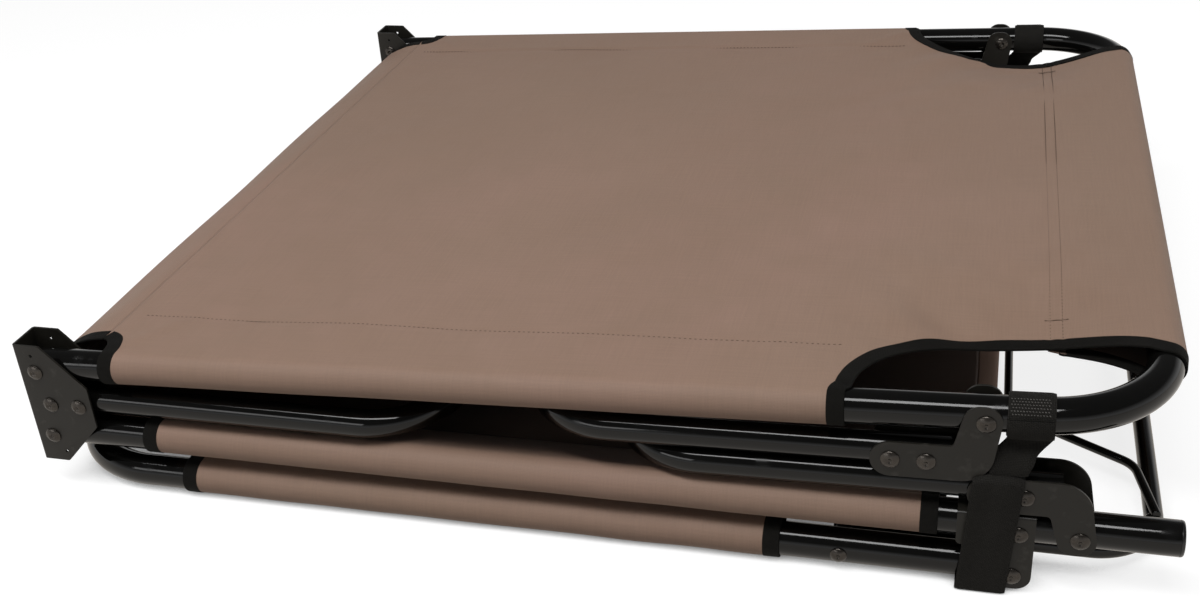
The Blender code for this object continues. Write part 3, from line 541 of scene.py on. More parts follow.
def cloudy(tree, vector, large, fine, smooth, rough):
    """Blotches as a factor, and a roughness between two that follows them."""
    cloud = use(tree, BLOTCH, vector, Large=large, Fine=fine)
    return cloud, span(tree, cloud, 0.35, 0.65, smooth, rough)


def black_gloss():
    """Gloss black powder coat: nearly black, faintly rippled, with a few fine scuffs."""
    made, tree, shader, vector = paint(
        "gloss black tube", (0.003, 0.003, 0.0028), 0.08, Specular_IOR_Level=0.3
    )
    cloud, rough = cloudy(tree, vector, 25.0, 220.0, 0.06, 0.1)
    scuffs = use(tree, SCUFF, vector, Scale=55.0)
    base = tint(tree, cloud, (0.0018, 0.0018, 0.0017), (0.0042, 0.004, 0.0037))
    rough = plus(tree, rough, times(tree, scuffs, 0.16))
    feed(tree, shader, Base_Color=base, Roughness=rough)
    bump(tree, shader, noise(tree, vector, 420.0, 2.0), 0.00005, 0.35)
    return made


def satin_plate():
    """Satin warm black on pressed plate: cloudy, with scuffs that show a lighter grey."""
    made, tree, shader, vector = paint(
        "satin plate", (0.012, 0.0108, 0.0088), 0.4, Specular_IOR_Level=0.26
    )
    cloud, rough = cloudy(tree, vector, 30.0, 260.0, 0.33, 0.45)
    scuffs = use(tree, SCUFF, vector, Scale=90.0)
    base = tint(tree, cloud, (0.0085, 0.0076, 0.006), (0.0165, 0.015, 0.0122))
    base = tint(tree, times(tree, scuffs, 0.5), base, (0.045, 0.042, 0.037))
    feed(tree, shader, Base_Color=base, Roughness=rough)
    bump(tree, shader, noise(tree, vector, 900.0, 3.0), 0.00004, 0.5)
    return made


def rivet_steel():
    """Dark blued steel, rubbed brighter in places."""
    made, tree, shader, vector = paint("rivet steel", (0.04, 0.036, 0.032), 0.2, Metallic=0.7)
    cloud, rough = cloudy(tree, vector, 90.0, 700.0, 0.18, 0.32)
    base = tint(tree, span(tree, cloud, 0.3, 0.7), (0.026, 0.022, 0.019), (0.07, 0.061, 0.052))
    feed(tree, shader, Base_Color=base, Roughness=rough)
    bump(tree, shader, noise(tree, vector, 900.0, 2.0), 0.00002, 0.3)
    return made


def grained(name, rough, scale, detail, dark, light, distance):
    """Plastic or thread: a fine grain between two colours, which stands up a little."""
    made, tree, shader, vector = paint(name, light, rough)
    grain = noise(tree, vector, scale, detail)
    feed(tree, shader, Base_Color=tint(tree, grain, dark, light))
    bump(tree, shader, grain, distance, 0.6)
    return made


def canvas(name="brown canvas", share=1.0):
    """Taupe-brown coated canvas: a fine plain weave, thicker threads here and there, and soft
    blotches where the coating is thinner. share darkens all of it, and the back's copy uses that as
    painted shade."""
    made, tree, shader, vector = paint(
        name, (0.23, 0.15, 0.112), 0.55, "cloth",
        Sheen_Weight=0.04, Sheen_Roughness=0.4, Specular_IOR_Level=0.3,
    )
    weave = use(tree, WEAVE, vector, Threads_per_metre=1150.0)
    cloud, rough = cloudy(tree, vector, 5.0, 38.0, 0.55, 0.7)
    stretches = (700.0, 22.0, 1.0), (22.0, 700.0, 1.0)
    slub = plus(tree, *(noise(tree, vector, 1.0, 4.0, 0.65, way) for way in stretches))
    colours = np.array([(0.26, 0.168, 0.128), (0.245, 0.1655, 0.122), (0.234, 0.153, 0.111)])
    warm, cool, deep = colours * share
    hue = span(tree, noise(tree, vector, 3.2, 3.0, 0.5, (1.0, 0.6, 1.0)), 0.38, 0.62)
    base = tint(tree, span(tree, cloud, 0.36, 0.64), deep, tint(tree, hue, cool, warm))
    shade = times(tree, weave, 0.16)
    shade = plus(tree, shade, span(tree, slub, 0.7, 1.3, 0.86, 0.98))
    scale = add(tree, "VectorMath")
    scale.operation = "SCALE"
    feed(tree, scale, Vector=base, Scale=shade)
    feed(tree, shader, Base_Color=scale.outputs[0], Roughness=rough)
    height = plus(tree, weave, times(tree, slub, 0.8))
    bump(tree, shader, height, 0.00012, 0.5)
    return made


def black_tape(name, across, shine, light):
    """Woven black tape: ribs across it, and a twill of small floats."""
    made, tree, shader, vector = paint(
        name, (0.008, 0.0075, 0.0065), shine, "cloth", Specular_IOR_Level=0.12
    )
    weave = use(tree, WEAVE, vector, Threads_per_metre=across)
    cloud = use(tree, BLOTCH, vector, Large=20.0, Fine=300.0)
    factor = span(tree, times(tree, weave, cloud), 0.0, 0.6)
    feed(tree, shader, Base_Color=tint(tree, factor, (0.002, 0.0019, 0.0016), light))
    bump(tree, shader, weave, 0.0003, 0.8)
    return made


GLOSS, SATIN, STEEL = black_gloss(), satin_plate(), rivet_steel()
PLASTIC = grained(
    "black plastic", 0.3, 1300.0, 3.0, (0.0045, 0.0045, 0.0045), (0.009, 0.009, 0.0088), 0.00006
)
# The back is the same canvas darkened to a third: painted shade, for the shadow inside the sleeves
# and under the sections.
CANVAS, CANVAS_PAINTED_SHADE_BACK = canvas(), canvas("brown canvas back in painted shade", 0.3)
THREAD, LIGHT_THREAD = (
    grained(name, 0.6, 2500.0, 2.0, dark, light, 0.0001)
    for name, dark, light in (
        ("brown thread", (0.04, 0.02, 0.012), (0.09, 0.05, 0.03)),
        ("grey thread", (0.03, 0.028, 0.025), (0.11, 0.104, 0.094)),
    )
)
BINDING = black_tape("black binding", 1500.0, 0.8, (0.0085, 0.0076, 0.0062))
WEBBING = black_tape("black webbing", 1050.0, 0.75, (0.022, 0.0205, 0.018))


# ------------------------------------------------------------------ tubes


def tubes():
    """The frames, the legs, the prop and its rung."""
    end = TUBE_R + 0.0002
    straight = np.linspace(-end, MIDDLE_END, 30)
    for side, way in SIDES:
        name, line = f"middle_tube_{side}", columns(straight, way * HALF)
        tube(f"{name}_steel", name, "middle_section", line, TUBE_R, TUBE_WALL, cut_end=(True, False))
    for part, start, bar in (("foot", -end, FOOT_BAR), ("head", end, HEAD_BAR - HEAD_PIVOT)):
        name, line = f"{part}_frame", u_line(start, bar, HALF, TUBE_BEND)
        body, cuts = f"{part}_section", (True, True)
        tube(f"{name}_steel", f"{name}_tube", body, line, TUBE_R, TUBE_WALL, cut_end=cuts)
    leg_end = TUBE_R + 0.0007
    for name, start, bar, rise in (
        ("fold_leg", 0.001 - leg_end, LEG_REACH, 0.0),
        ("foot_leg", -leg_end, -LEG_REACH, leg_offset("foot_leg")),
        ("head_leg", -leg_end, -LEG_REACH, leg_offset("head_leg")),
    ):
        line = u_line(start, bar, HALF, LEG_BEND)
        tube(f"{name}_steel", f"{name}_tube", name, line, LEG_R, LEG_WALL, rise)
    line = u_line(-BOW_R, PROP_BAR - PROP_PIVOT, HALF - PROP_INSET, BOW_BEND)
    tube("prop_bow_steel", "prop_bow", "head_prop", line, BOW_R, 0.0)
    rung()


def leg_offset(name):
    """How far a leg's line lies from its pivot, from its plates' and rivets' places."""
    origin, tilt = FRAMES[name]
    low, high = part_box(f"{name}_rivet_near_1")
    centre = np.array((low + high) / 2) - origin
    return -centre[0] * math.sin(tilt) + centre[2] * math.cos(tilt)


def smooth_line(corners, bend, steps=10):
    """A line through corners in plan, each inner one rounded by a quadratic curve that leaves
    its sides at distance bend."""
    corners = [np.array(c, float) for c in corners]
    out = [corners[0][None]]
    t = np.linspace(0, 1, steps + 1)[:, None]
    for before, here, after in zip(corners, corners[1:], corners[2:]):
        a, b = here + unit(before - here) * bend, here + unit(after - here) * bend
        out.append((1 - t) ** 2 * a + 2 * t * (1 - t) * here + t**2 * b)
    return np.concatenate(out + [corners[-1][None]])


def rung():
    """The thin rod on the prop's corners, with a weld bead at each end."""
    x = [place - PROP_PIVOT for place in (PROP_BAR, PROP_BAR - 0.010, HEAD_PIVOT - 0.004)]
    y = [inset - HALF for inset in (0.050, 0.103, 0.154)]
    corners = list(zip(x, y))
    corners += [(a, -b) for a, b in reversed(corners)]
    line = smooth_line(corners, 0.009)
    lift = BOW_R + RUNG_R + 0.0003
    rod, cells = pipe(line, RUNG_R, sides=20)
    rod[..., 2] += lift
    shells = [(rod, cells)]
    for way in (-1, 1):
        a = np.linspace(-1, 1, 13)
        bead = columns(np.sqrt(np.maximum(0, 1 - a**2)) * 0.0042, a * 0.0026)
        blob, cells = turned(bead, 16, (0, 0, 0))
        blob = blob[..., [0, 2, 1]] * (1.2, 1.0, 1.0)
        shells.append((blob + (x[0] - 0.0015, -way * y[0] - way * 0.001, BOW_R + 0.0004), cells))
    body = "head_prop"
    put("prop_rung_steel", body, shells, GLOSS, ["prop_rung"], body, closed=True, sharp=60)


# ------------------------------------------------------------------ plates and rivets


def folded_plates(node, body, cheek, web):
    """A plate on each side whose two cheeks stand on both sides of the tube, joined by a web."""
    for side, way in SIDES:
        shells = [upright(cheek, way * HALF + out) for out in (-CHEEK, CHEEK)]
        shells.append((web + (0, way * HALF, 0), grid_faces(*web.shape[:2])))
        sheet_metal(f"{node}_{side}_plate", body, shells, [f"{node}_{side}"])


def fold_channels():
    """The folded channel at each end of the fold leg: two hexagonal cheeks and a web. The web
    and its two bends are a section carried up Z; the cheeks are filled outlines with the small
    tooling holes."""
    height = PITCH / 2 + 0.021
    x_top, x_side, z_side, round_off = 0.0074, 0.0376, 0.0157, 0.002
    start = PLATE_BEND - CHEEK
    lower = [(start, -height, 0), (x_top, -height, round_off), (x_side, -z_side, round_off)]
    outline = lower + [(x, -z, r) for x, z, r in reversed(lower)]
    holes = [circle(0, height - 0.008, 0.0012), circle(x_top, 0.008 - height, 0.0012)]
    cheek = filled([rounded(outline, 5)] + holes)
    a = np.linspace(0, math.pi / 2, 6)
    corner = columns(-np.sin(a), 1 - np.cos(a)) * PLATE_BEND + (start, -CHEEK)
    section = np.concatenate([corner, corner[::-1] * (1, -1)])
    web = np.stack([columns(*section.T, z) for z in (-height, height)])
    folded_plates("fold_channel", "fold_leg", cheek, web)


def leg_plates():
    """The four cranked plates of each hinged leg: a round end, a throat, an eye round the pivot
    and a long heel."""
    half, eye, arc = 0.012, 0.011, 0.0099
    tip, throat, heel, tip_arc, throat_arc, heel_arc = -0.066, -0.018, 0.003, 0.0118, 0.003, 0.020
    for name in ("foot_leg", "head_leg"):
        offset = leg_offset(name)
        way_z = np.sign(offset)
        far, near = abs(offset) + half, abs(offset) - half
        corners = [
            (tip, far, tip_arc),
            (tip, near, tip_arc),
            (throat, near, throat_arc),
            (-eye, -eye, arc),
            (eye, -eye, arc),
            (heel, far, heel_arc),
        ]
        shape = filled([rounded([(x, way_z * z, r) for x, z, r in corners], 14)])
        shells, nodes = [], []
        for side, way in SIDES:
            for face, out in (("outer", way), ("inner", -way)):
                shells.append(upright(shape, way * HALF + out * CHEEK))
                nodes.append(f"{name}_plate_{side}_{face}")
        sheet_metal(name + "_plates", name, shells, nodes)


def head_brackets():
    """The saddle over each middle tube: a web, two bends and two cheeks that end in an eye."""
    eye, half, step, step_arc = 0.0095, 0.0115, 0.0022, 0.003
    left, right, neck = HEAD_PIVOT - 0.034, HEAD_PIVOT + half, HEAD_PIVOT - half
    skirt, low, top = -0.011, -DROP - eye, CHEEK - PLATE_BEND
    outline = [
        (left, top, 0),
        (left, skirt, step_arc),
        (neck - step, skirt, step_arc),
        (neck, low, eye),
        (right, low, eye),
        (right, top, 0),
    ]
    cheek = filled([rounded(outline, 10)])
    a = np.linspace(0, math.pi / 2, 6)
    corner = columns(-np.cos(a), np.sin(a)) * PLATE_BEND + (-top, top)
    section = np.concatenate([corner, corner[::-1] * (-1, 1)])
    web = np.stack([columns(x, *section.T) for x in (left, right)])
    folded_plates("head_bracket", "middle_section", cheek, web)


def rivet_profile(grip, shank, head):
    """Half a rivet's outline on both sides of its grip: a dome that falls as a cosine to a thin
    rim, with a shallow round hollow punched in its middle, then the shank."""
    tall, base = 0.0026, grip / 2
    r = np.concatenate([np.linspace(0, 0.5, 9), np.linspace(0.56, 1, 11)])
    dome = 0.0003 + (tall - 0.0003) * np.cos(r * math.pi / 2) ** 0.75
    hollow = 0.0013 * (0.5 + 0.5 * np.cos(math.pi * np.clip(r / 0.4, 0, 1))) ** 0.7
    end = columns(head * r, base + dome - hollow)
    end = np.concatenate([end, [(head * 0.985, base), (shank, base)]])
    return np.concatenate([end, end[::-1] * (1, -1)])


def rivets():
    """Every rivet of a body as one piece, each where its node is."""
    plain = rivet_profile(RIVET_GRIP, 0.0027, 0.0058)
    names = {
        "middle_section": ["head_bracket_rivet", "head_pivot_rivet"],
        "fold_leg": ["fold_leg_rivet", "middle_pivot_rivet", "foot_pivot_rivet"],
        "foot_leg": ["foot_leg_rivet", "foot_leg_pivot_rivet"],
        "head_leg": ["head_leg_rivet", "head_leg_pivot_rivet"],
        "head_section": ["prop_rivet"],
    }
    for body, starts in names.items():
        nodes = [n for n in frame["nodes"] if any(n.startswith(s) for s in starts)]
        shells = []
        for node in sorted(nodes):
            centre, size = measured(node)
            grip = size[1] - 2 * RIVET_RISE
            profile = plain if body != "head_section" else rivet_profile(grip, 0.0024, 0.0052)
            shells.append(turned(profile, 28, centre))
        put(body + "_rivets", body, shells, STEEL, nodes, closed=True, sharp=40)


def small_parts():
    """The plugs in the middle tubes' ends, and the prop's spacers."""
    origin = FRAMES["middle_section"][0]
    bore = TUBE_R - TUBE_WALL - 0.0002
    a = np.linspace(0, math.pi / 2, 8)
    dish = [(0, 0.0016), (0.006, 0.0016), (0.0075, 0.0021)]
    rim = columns(0.0098 + 0.0012 * np.sin(a), 0.0003 + 0.0019 * np.cos(a))
    stem = [(TUBE_R, 0.0001), (bore, 0.0001), (bore, -0.010), (0.0, -0.010)]
    profile = np.concatenate([dish, rim, stem])
    for side, way in SIDES:
        centre = origin + (MIDDLE_END, way * HALF, 0)
        shells, nodes = [turned(profile, 36, centre, "x")], [f"tube_cap_{side}"]
        put(f"tube_plug_{side}", "middle_section", shells, PLASTIC, nodes, closed=True, sharp=45)
        centre, size = measured(f"prop_spacer_{side}")
        w = size[1] / 2
        ring = [(0.0027, -w), (0.0046, -w), (0.005, -w + 0.0004)]
        ring += [(r, -at) for r, at in reversed(ring)] + ring[:1]
        shells, nodes = [turned(ring, 28, centre)], [f"prop_spacer_{side}"]
        put(f"prop_bush_{side}", "head_section", shells, PLASTIC, nodes, closed=True, sharp=35)


# ------------------------------------------------------------------ canvas


def ripple(x, y, seed, wave, along, spread, count=7):
    """A sum of sine waves of about one wavelength, whose crests run about one way. Phases and
    small turns come from a seeded list, so it is the same each time."""
    rng = np.random.default_rng(seed)
    total = np.zeros(np.broadcast(x, y).shape)
    for _ in range(count):
        turn = along + math.pi / 2 + rng.uniform(-spread, spread)
        k = 2 * math.pi / (wave * rng.uniform(0.7, 1.5))
        total = total + np.sin(k * (x * math.cos(turn) + y * math.sin(turn)) + rng.uniform(0, 6.28))
    return total / math.sqrt(count)


def fade(t):
    """Smooth step of t from 0 to 1."""
    t = np.clip(t, 0, 1)
    return t * t * (3 - 2 * t)


def wrap(seam, count=30):
    """A sleeve's section as (inward, up): from the tube's top round its outer side, then straight
    up to the seam from the point where the radius is square to that line."""
    low = SKIN - CLOTH * 1.1
    reach = math.hypot(seam, low)
    last = math.atan2(low, seam) - math.acos(SKIN / reach) + 2 * math.pi
    a = np.linspace(math.pi / 2, last, count)
    arc = SKIN * columns(np.cos(a), np.sin(a))
    t = np.linspace(0, 1, 12)[1:, None]
    ply = arc[-1] * (1 - t) + np.array((seam, low)) * t
    ply[:, 1:] -= 0.0012 * np.sin(math.pi * t)
    line = np.concatenate([arc, ply])
    return line, length_along(line)


SIDE_WRAP, END_WRAP = wrap(SEAM), wrap(END_SEAM)
ROUND = HALF + SIDE_WRAP[1][-1]


def spacing(start, end, step):
    """Places from start to end about a step apart."""
    return np.linspace(start, end, max(2, int(round(abs(end - start) / step)) + 1))


def toward(start, end, count, power=2.2):
    """Places from start to end, close together at start."""
    return start + (end - start) * np.linspace(0, 1, count) ** power


def cut_out(x, start, end):
    """How far a corner cut-out reaches in from the tube: a quarter ellipse to its full depth, then
    easing off with the square of the distance to another depth at its end."""
    t, deepest = part_of(x, start, end), 0.58
    curve = np.sqrt(np.clip(1 - (1 - np.minimum(t / deepest, 1)) ** 2, 0, 1))
    ease = np.clip((t - deepest) / (1 - deepest), 0, 1) ** 2
    return CUT_DEPTH * curve - (CUT_DEPTH - CUT_END) * ease


class Panel:
    """One section's canvas. It is drawn as it was cut, x along it and w across, and surface()
    lays that drawing over the tubes. up is -1 where it hangs under them instead."""

    def __init__(self, body, up, rows, edge, sag, sleeve, seed, calm, end_bar=None):
        self.body, self.up, self.rows, self.edge = body, up, np.concatenate(rows), edge
        self.sag, self.sleeve, self.seed, self.calm = sag, sleeve, seed, calm
        self.end_bar = end_bar
        self.way = 0 if end_bar is None else (1 if end_bar > sleeve[0] else -1)

    def height(self, x, y):
        """The tubes' top, less the slack edge's sag, plus low wrinkles that die out at the tubes
        and at each place in calm, folds at the corners, and a groove along each seam. The head
        canvas lies on the floor once the bed is open, so nothing of it stands past its tubes."""
        inside = self.edge(x) - np.abs(y)
        z = SKIN - self.sag(x) * fade(1 - inside / 0.1)
        free = fade((HALF - np.abs(y) - 0.004) / 0.05) * fade(inside / 0.03 + 0.2)
        for place in self.calm:
            free = free * fade(np.abs(x - place) / 0.03)
        for k, (tall, *waves) in enumerate(WRINKLES):
            z = z + tall * free * ripple(x, y, self.seed + k, *waves)
        in_y = HALF - np.abs(y)
        on = fade((x - self.sleeve[0]) / 0.02) * fade((self.sleeve[1] - x) / 0.02)
        z = z - 0.0005 * np.exp(-(((in_y - SEAM) / 0.0024) ** 2)) * on
        z = z + 0.0003 * fade((SEAM - in_y) / 0.003) * fade(in_y / 0.02) * on
        for corner in self.sleeve:
            off_fold = np.abs(x - corner) - 0.9 * in_y
            gone = np.exp(-((np.hypot(x - corner, in_y) / 0.07) ** 2)) * fade(in_y / 0.02)
            z = z + 0.0011 * gone * np.exp(-((off_fold / 0.007) ** 2))
        if self.way:
            away = np.abs(x - self.end_bar)
            for line in SEAM_ROWS:
                z = z - 0.0004 * np.exp(-(((away - line) / 0.002) ** 2))
            corner = np.exp(-(((away - 0.11) / 0.09) ** 2)) * fade((np.abs(y) - 0.06) / 0.16)
            z = z + 0.0016 * free * corner * ripple(x, np.abs(y), self.seed + 2, 0.05, 0.75, 0.25)
        return np.minimum(z, SKIN) if self.body == "head_section" else z

    def surface(self, x, w):
        """Where a point of the drawing lies: flat up to the tubes; past a side tube it follows
        the sleeve's section round, and so it does past the end bar."""
        x, w = np.broadcast_arrays(np.asarray(x, float), np.asarray(w, float))
        line, run = SIDE_WRAP
        past = np.abs(w) - HALF
        loose = 0.00018 * ripple(x, past, self.seed + 5, 0.05, 0.2, 0.7)
        loose = loose * fade(past / 0.012) * fade((run[-1] - past) / 0.02)
        for end in self.sleeve:
            loose = loose * fade(np.abs(x - end) / 0.03)
        inward = np.interp(past, run, line[:, 0]) * (1 + loose / SKIN)
        rise = np.interp(past, run, line[:, 1]) * (1 + loose / SKIN)
        y = np.where(past > 0, np.sign(w) * (HALF - inward), w)
        z = np.where(past > 0, rise, self.height(x, y))
        if self.way:
            line, run = END_WRAP
            over = self.way * (x - self.end_bar)
            turn = np.clip((np.abs(w) - HALF + TUBE_BEND) / TUBE_BEND, 0, 1)
            bend = TUBE_BEND * (1 - np.sqrt(1 - turn**2))
            bend = bend * np.exp(-((over / 0.03) ** 2) * (over < 0))
            x = x - self.way * bend
            place = self.end_bar - self.way * (np.interp(over, run, line[:, 0]) + bend)
            level = (self.height(place, w) - SKIN) * fade((over - 0.03) / (run[-1] - 0.03))
            z = np.where(over > 0, np.interp(over, run, line[:, 1]) + level, z)
            x = np.where(over > 0, place, x)
        return columns(x, y, z)

    def lifted(self, x, w, height):
        """Points at a height off the cloth's outer side, square to it. The square direction is
        the cross product of the steps along x and across."""
        e = 0.0003
        ahead = self.surface(x + e, w) - self.surface(x - e, w)
        across = self.surface(x, w + e) - self.surface(x, w - e)
        normal = np.cross(ahead, across)
        normal /= np.maximum(np.linalg.norm(normal, axis=-1), 1e-12)[..., None]
        return self.surface(x, w) + normal * np.asarray(height)[..., None]

    def under_edge(self, over):
        """Half the width of the end sleeve at a distance round it: the edge of what lies above."""
        line, run = END_WRAP
        return self.edge(self.end_bar - self.way * np.maximum(np.interp(over, run, line[:, 0]), 0))

    def place(self, points):
        return placed(np.asarray(points) * (1, 1, self.up), self.body)


def walk(path, step=0.0014):
    """A path in the drawing, at even steps, with the way it runs."""
    path = np.asarray(path, float)
    keep = np.concatenate([[True], np.linalg.norm(np.diff(path, axis=0), axis=1) > 1e-6])
    path = path[keep]
    s = length_along(path)
    at = spacing(0, s[-1], step)
    even = sampled(at, s, path)
    for _ in range(4):
        even[1:-1] = (even[:-2] + 2 * even[1:-1] + even[2:]) / 4
    return even, unit(np.gradient(even, at, axis=0)), at


TAPE_FLAT, TAPE_TOP = (-0.0009, 0.0098), (-0.0006, 0.00088)
TAPE = [
    (TAPE_FLAT[0], TAPE_TOP[0], 0.0005),
    (TAPE_FLAT[1], TAPE_TOP[0], 0.0002),
    (TAPE_FLAT[1], TAPE_TOP[1], 0.0003),
    (TAPE_FLAT[0], TAPE_TOP[1], 0.0006),
]
TAPE = looped(rounded(TAPE, 4))


def tape(lay, path, into):
    """Binding folded over a cloth's edge: a flat, rounded section carried along the cut edge of
    the drawing and laid on the cloth with it. into is 1 where the cloth is on the path's left."""
    even, flow, at = walk(path)
    side = columns(-flow[:, 1], flow[:, 0]) * into
    x = even[:, :1] + side[:, :1] * TAPE[:, 0]
    w = even[:, 1:] + side[:, 1:] * TAPE[:, 0]
    points = lay(x, w, TAPE[:, 1] + 0 * x)
    uv = columns(length_along(TAPE)[None], at[:, None])
    grid = points.shape[:2]
    return points, grid_faces(*grid).tolist() + end_faces(*grid), uv


def stitches(lay, path, pitch=0.0032, long=0.0023, thick=0.00036, turn=0.0, scale=1.0):
    """A row of sewn stitches: each a small low dome, longer than wide, lying on the cloth. turn
    slants each one, and scale is the length that one step across stands for."""
    even, flow, at = walk(path, 0.0008)
    s = np.arange(pitch / 2, at[-1] - pitch / 2, pitch)
    middle = sampled(s, at, even)
    flow = sampled(s, at, flow)
    c, n = math.cos(turn), math.sin(turn)
    flow = flow @ np.array([[c, n], [-n, c]])
    side = columns(-flow[:, 1], flow[:, 0])
    rows, sides = 5, 6
    u = np.linspace(-1, 1, rows)
    a = np.linspace(0, 2 * math.pi, sides, endpoint=False)
    r = np.sqrt(1 - u**4 + 1e-4)[:, None] * thick
    along = ((u[:, None] + 0 * a) * long / 2).ravel()
    across, tall = (r * np.cos(a)).ravel(), (r * np.sin(a) * 0.8).ravel()
    x = middle[:, :1] + flow[:, :1] * along + side[:, :1] * across
    w = middle[:, 1:] + (flow[:, 1:] * along + side[:, 1:] * across) / scale
    points = lay(x, w, tall + CLOTH / 2 + 0.00005 + 0 * x)
    ring = np.arange(rows * sides).reshape(rows, sides)
    nxt = np.roll(ring, -1, 1)
    cell = columns(ring[:-1], nxt[:-1], nxt[1:], ring[1:]).reshape(-1, 4)
    first = rows * sides * np.arange(len(s))[:, None, None]
    faces = (cell + first).reshape(-1, 4).tolist()
    ends = (ring[[0, -1]] + first).reshape(-1, sides).tolist()
    return points.reshape(-1, 3), faces + ends


def cloth_piece(name, panel, node):
    """A panel's sheet: the flat of it, two side sleeves and its end sleeve, as grids of the
    drawing that share their edges. The flat's columns go across it, a share of its half width."""
    v = np.linspace(-1, 1, 121)
    v = 0.5 * v + 0.5 * np.sin(v * math.pi / 2)
    x = panel.rows[:, None]
    grids = [(x + 0 * v, v * panel.edge(panel.rows)[:, None], 1)]
    on = (panel.rows >= panel.sleeve[0] - 1e-9) & (panel.rows <= panel.sleeve[1] + 1e-9)
    for way in (-1, 1):
        w = way * (HALF + SIDE_WRAP[1])
        grids.append((x[on] + 0 * w, w + 0 * x[on], way))
    if panel.way:
        over = END_WRAP[1][:, None]
        x = panel.end_bar + panel.way * over + 0 * v
        grids.append((x, v * panel.under_edge(over), panel.way))
    shells = [
        (panel.place(panel.surface(x, w)), grid_faces(*x.shape)[:, ::turn], columns(x, w))
        for x, w, turn in grids
    ]
    piece = put(name, panel.body, shells, CANVAS, [node], welded=True)
    return thicken(piece, (0, 0, panel.up))


def thicken(piece, outer):
    """Gives a cloth its thickness and a back darkened as painted shade, for the shadow inside the
    sleeves and under the cloth. outer points away from the back where the cloth's first face lies."""
    mesh = piece.data
    if mesh.polygons[0].normal.dot(Vector(outer)) < 0:
        mesh.flip_normals()
    # The back's material is the darkened canvas: painted shade.
    mesh.materials.append(CANVAS_PAINTED_SHADE_BACK)
    wall = piece.modifiers.new("thickness", "SOLIDIFY")
    wall.thickness = CLOTH
    wall.offset = 0
    wall.material_offset = 1
    return piece


MIRRORED = ((1, 1, 1), (1, -1, 1))


def tape_piece(name, body, shells, place):
    """Tapes on the near side and their mirror images on the far side, as one piece."""
    both = [(place(points * way), faces, uv) for points, faces, uv in shells for way in MIRRORED]
    return put(name, body, both, BINDING, closed=True)


def seam_piece(name, panel, rows):
    """Rows of stitches on the near side of a panel, and their mirror images."""
    shells = []
    for path, pitch, long in rows:
        points, faces = stitches(panel.lifted, path, pitch, long)
        shells += [(panel.place(points * way), faces) for way in MIRRORED]
    return put(name, panel.body, shells, THREAD, closed=True)


def notched(x, start, left):
    """Half the cloth's width at the fold: the strip's, out to the tube's in a quarter ellipse."""
    t = part_of(x, start, left)
    return STRIP + (HALF - STRIP) * (1 - np.sqrt(np.clip(1 - t * t, 0, 1)))


def hinge_notch(t):
    """How far the cloth's edge is cut in towards the head hinge: a quarter ellipse."""
    return (HALF - HINGE_STRIP) * np.sqrt(np.clip(1 - (1 - t) ** 2, 0, 1))


def foot_panel():
    left, right = FOOT_SLEEVE
    start = STRIP_START

    def edge(x):
        past = HALF - cut_out(x, right + 0.0035, FOOT_BAR)
        return np.where(x < left, notched(x, start, left), past)

    def sag(x):
        t = part_of(x, right, FOOT_BAR - 0.010)
        return FOOT_SAG * np.sin(math.pi * t**1.15) ** 1.4

    rows = [
        left - toward(0, left - start, 9, 2.0)[::-1],
        spacing(left, right, 0.006)[1:],
        toward(right, right + 0.05, 22, 2.0)[1:],
        spacing(right + 0.05, FOOT_BAR, 0.005)[1:],
    ]
    return Panel("foot_section", 1, rows, edge, sag, FOOT_SLEEVE, 3, (start, FOOT_BAR), FOOT_BAR)


def middle_panel():
    left, right = MIDDLE_SLEEVE
    start, notch, end = STRIP_START, MIDDLE_SLEEVE[0] - 0.010, HINGE_END

    def edge(x):
        past = HALF - hinge_notch(part_of(x, right, end))
        return np.where(x < left, notched(x, notch, left), past)

    rows = [
        spacing(start, notch, 0.005)[:-1],
        left - toward(0, left - notch, 9, 2.0)[::-1],
        spacing(left, right, 0.008)[1:],
        toward(right, end, 18, 2.0)[1:],
    ]
    return Panel("middle_section", -1, rows, edge, lambda x: 0 * x, MIDDLE_SLEEVE, 11, (start, end))


def head_panel():
    left, right = (x - HEAD_PIVOT for x in HEAD_SLEEVE)
    bar, end = HEAD_BAR - HEAD_PIVOT, HINGE_END - HEAD_PIVOT

    def edge(x):
        hinge = hinge_notch(np.minimum(2 * part_of(x, right, end), 1))
        return HALF - np.where(x < left, cut_out(-x, -left, -bar), hinge)

    def sag(x):
        return HEAD_SAG * np.sin(math.pi * part_of(x, left, bar)) ** 1.3

    rows = [
        -spacing(-left + 0.04, -bar, 0.006)[::-1][:-1],
        -toward(-left, -left + 0.04, 18, 2.0)[::-1][:-1],
        spacing(left, right, 0.008),
        toward(right, right + 0.05, 18, 2.0)[1:],
        spacing(right + 0.05, end, 0.006)[1:],
    ]
    return Panel("head_section", 1, rows, edge, sag, (left, right), 23, (bar, end), bar)


def cut_path(panel, from_x, to_x, round_bar):
    """The near cut edge in the drawing: from below the side sleeve's seam out to the tube, along
    the free edge, and over the end bar to its seam where there is one."""
    x = toward(from_x, to_x, 160, 2.0)
    path = [(from_x, -ROUND + 0.004), (from_x, -HALF), *zip(x, -panel.edge(x))]
    if round_bar:
        over = np.linspace(0, END_WRAP[1][-1] - 0.007, 40)[1:]
        path += [*zip(to_x + panel.way * over, -panel.under_edge(over))]
    return path


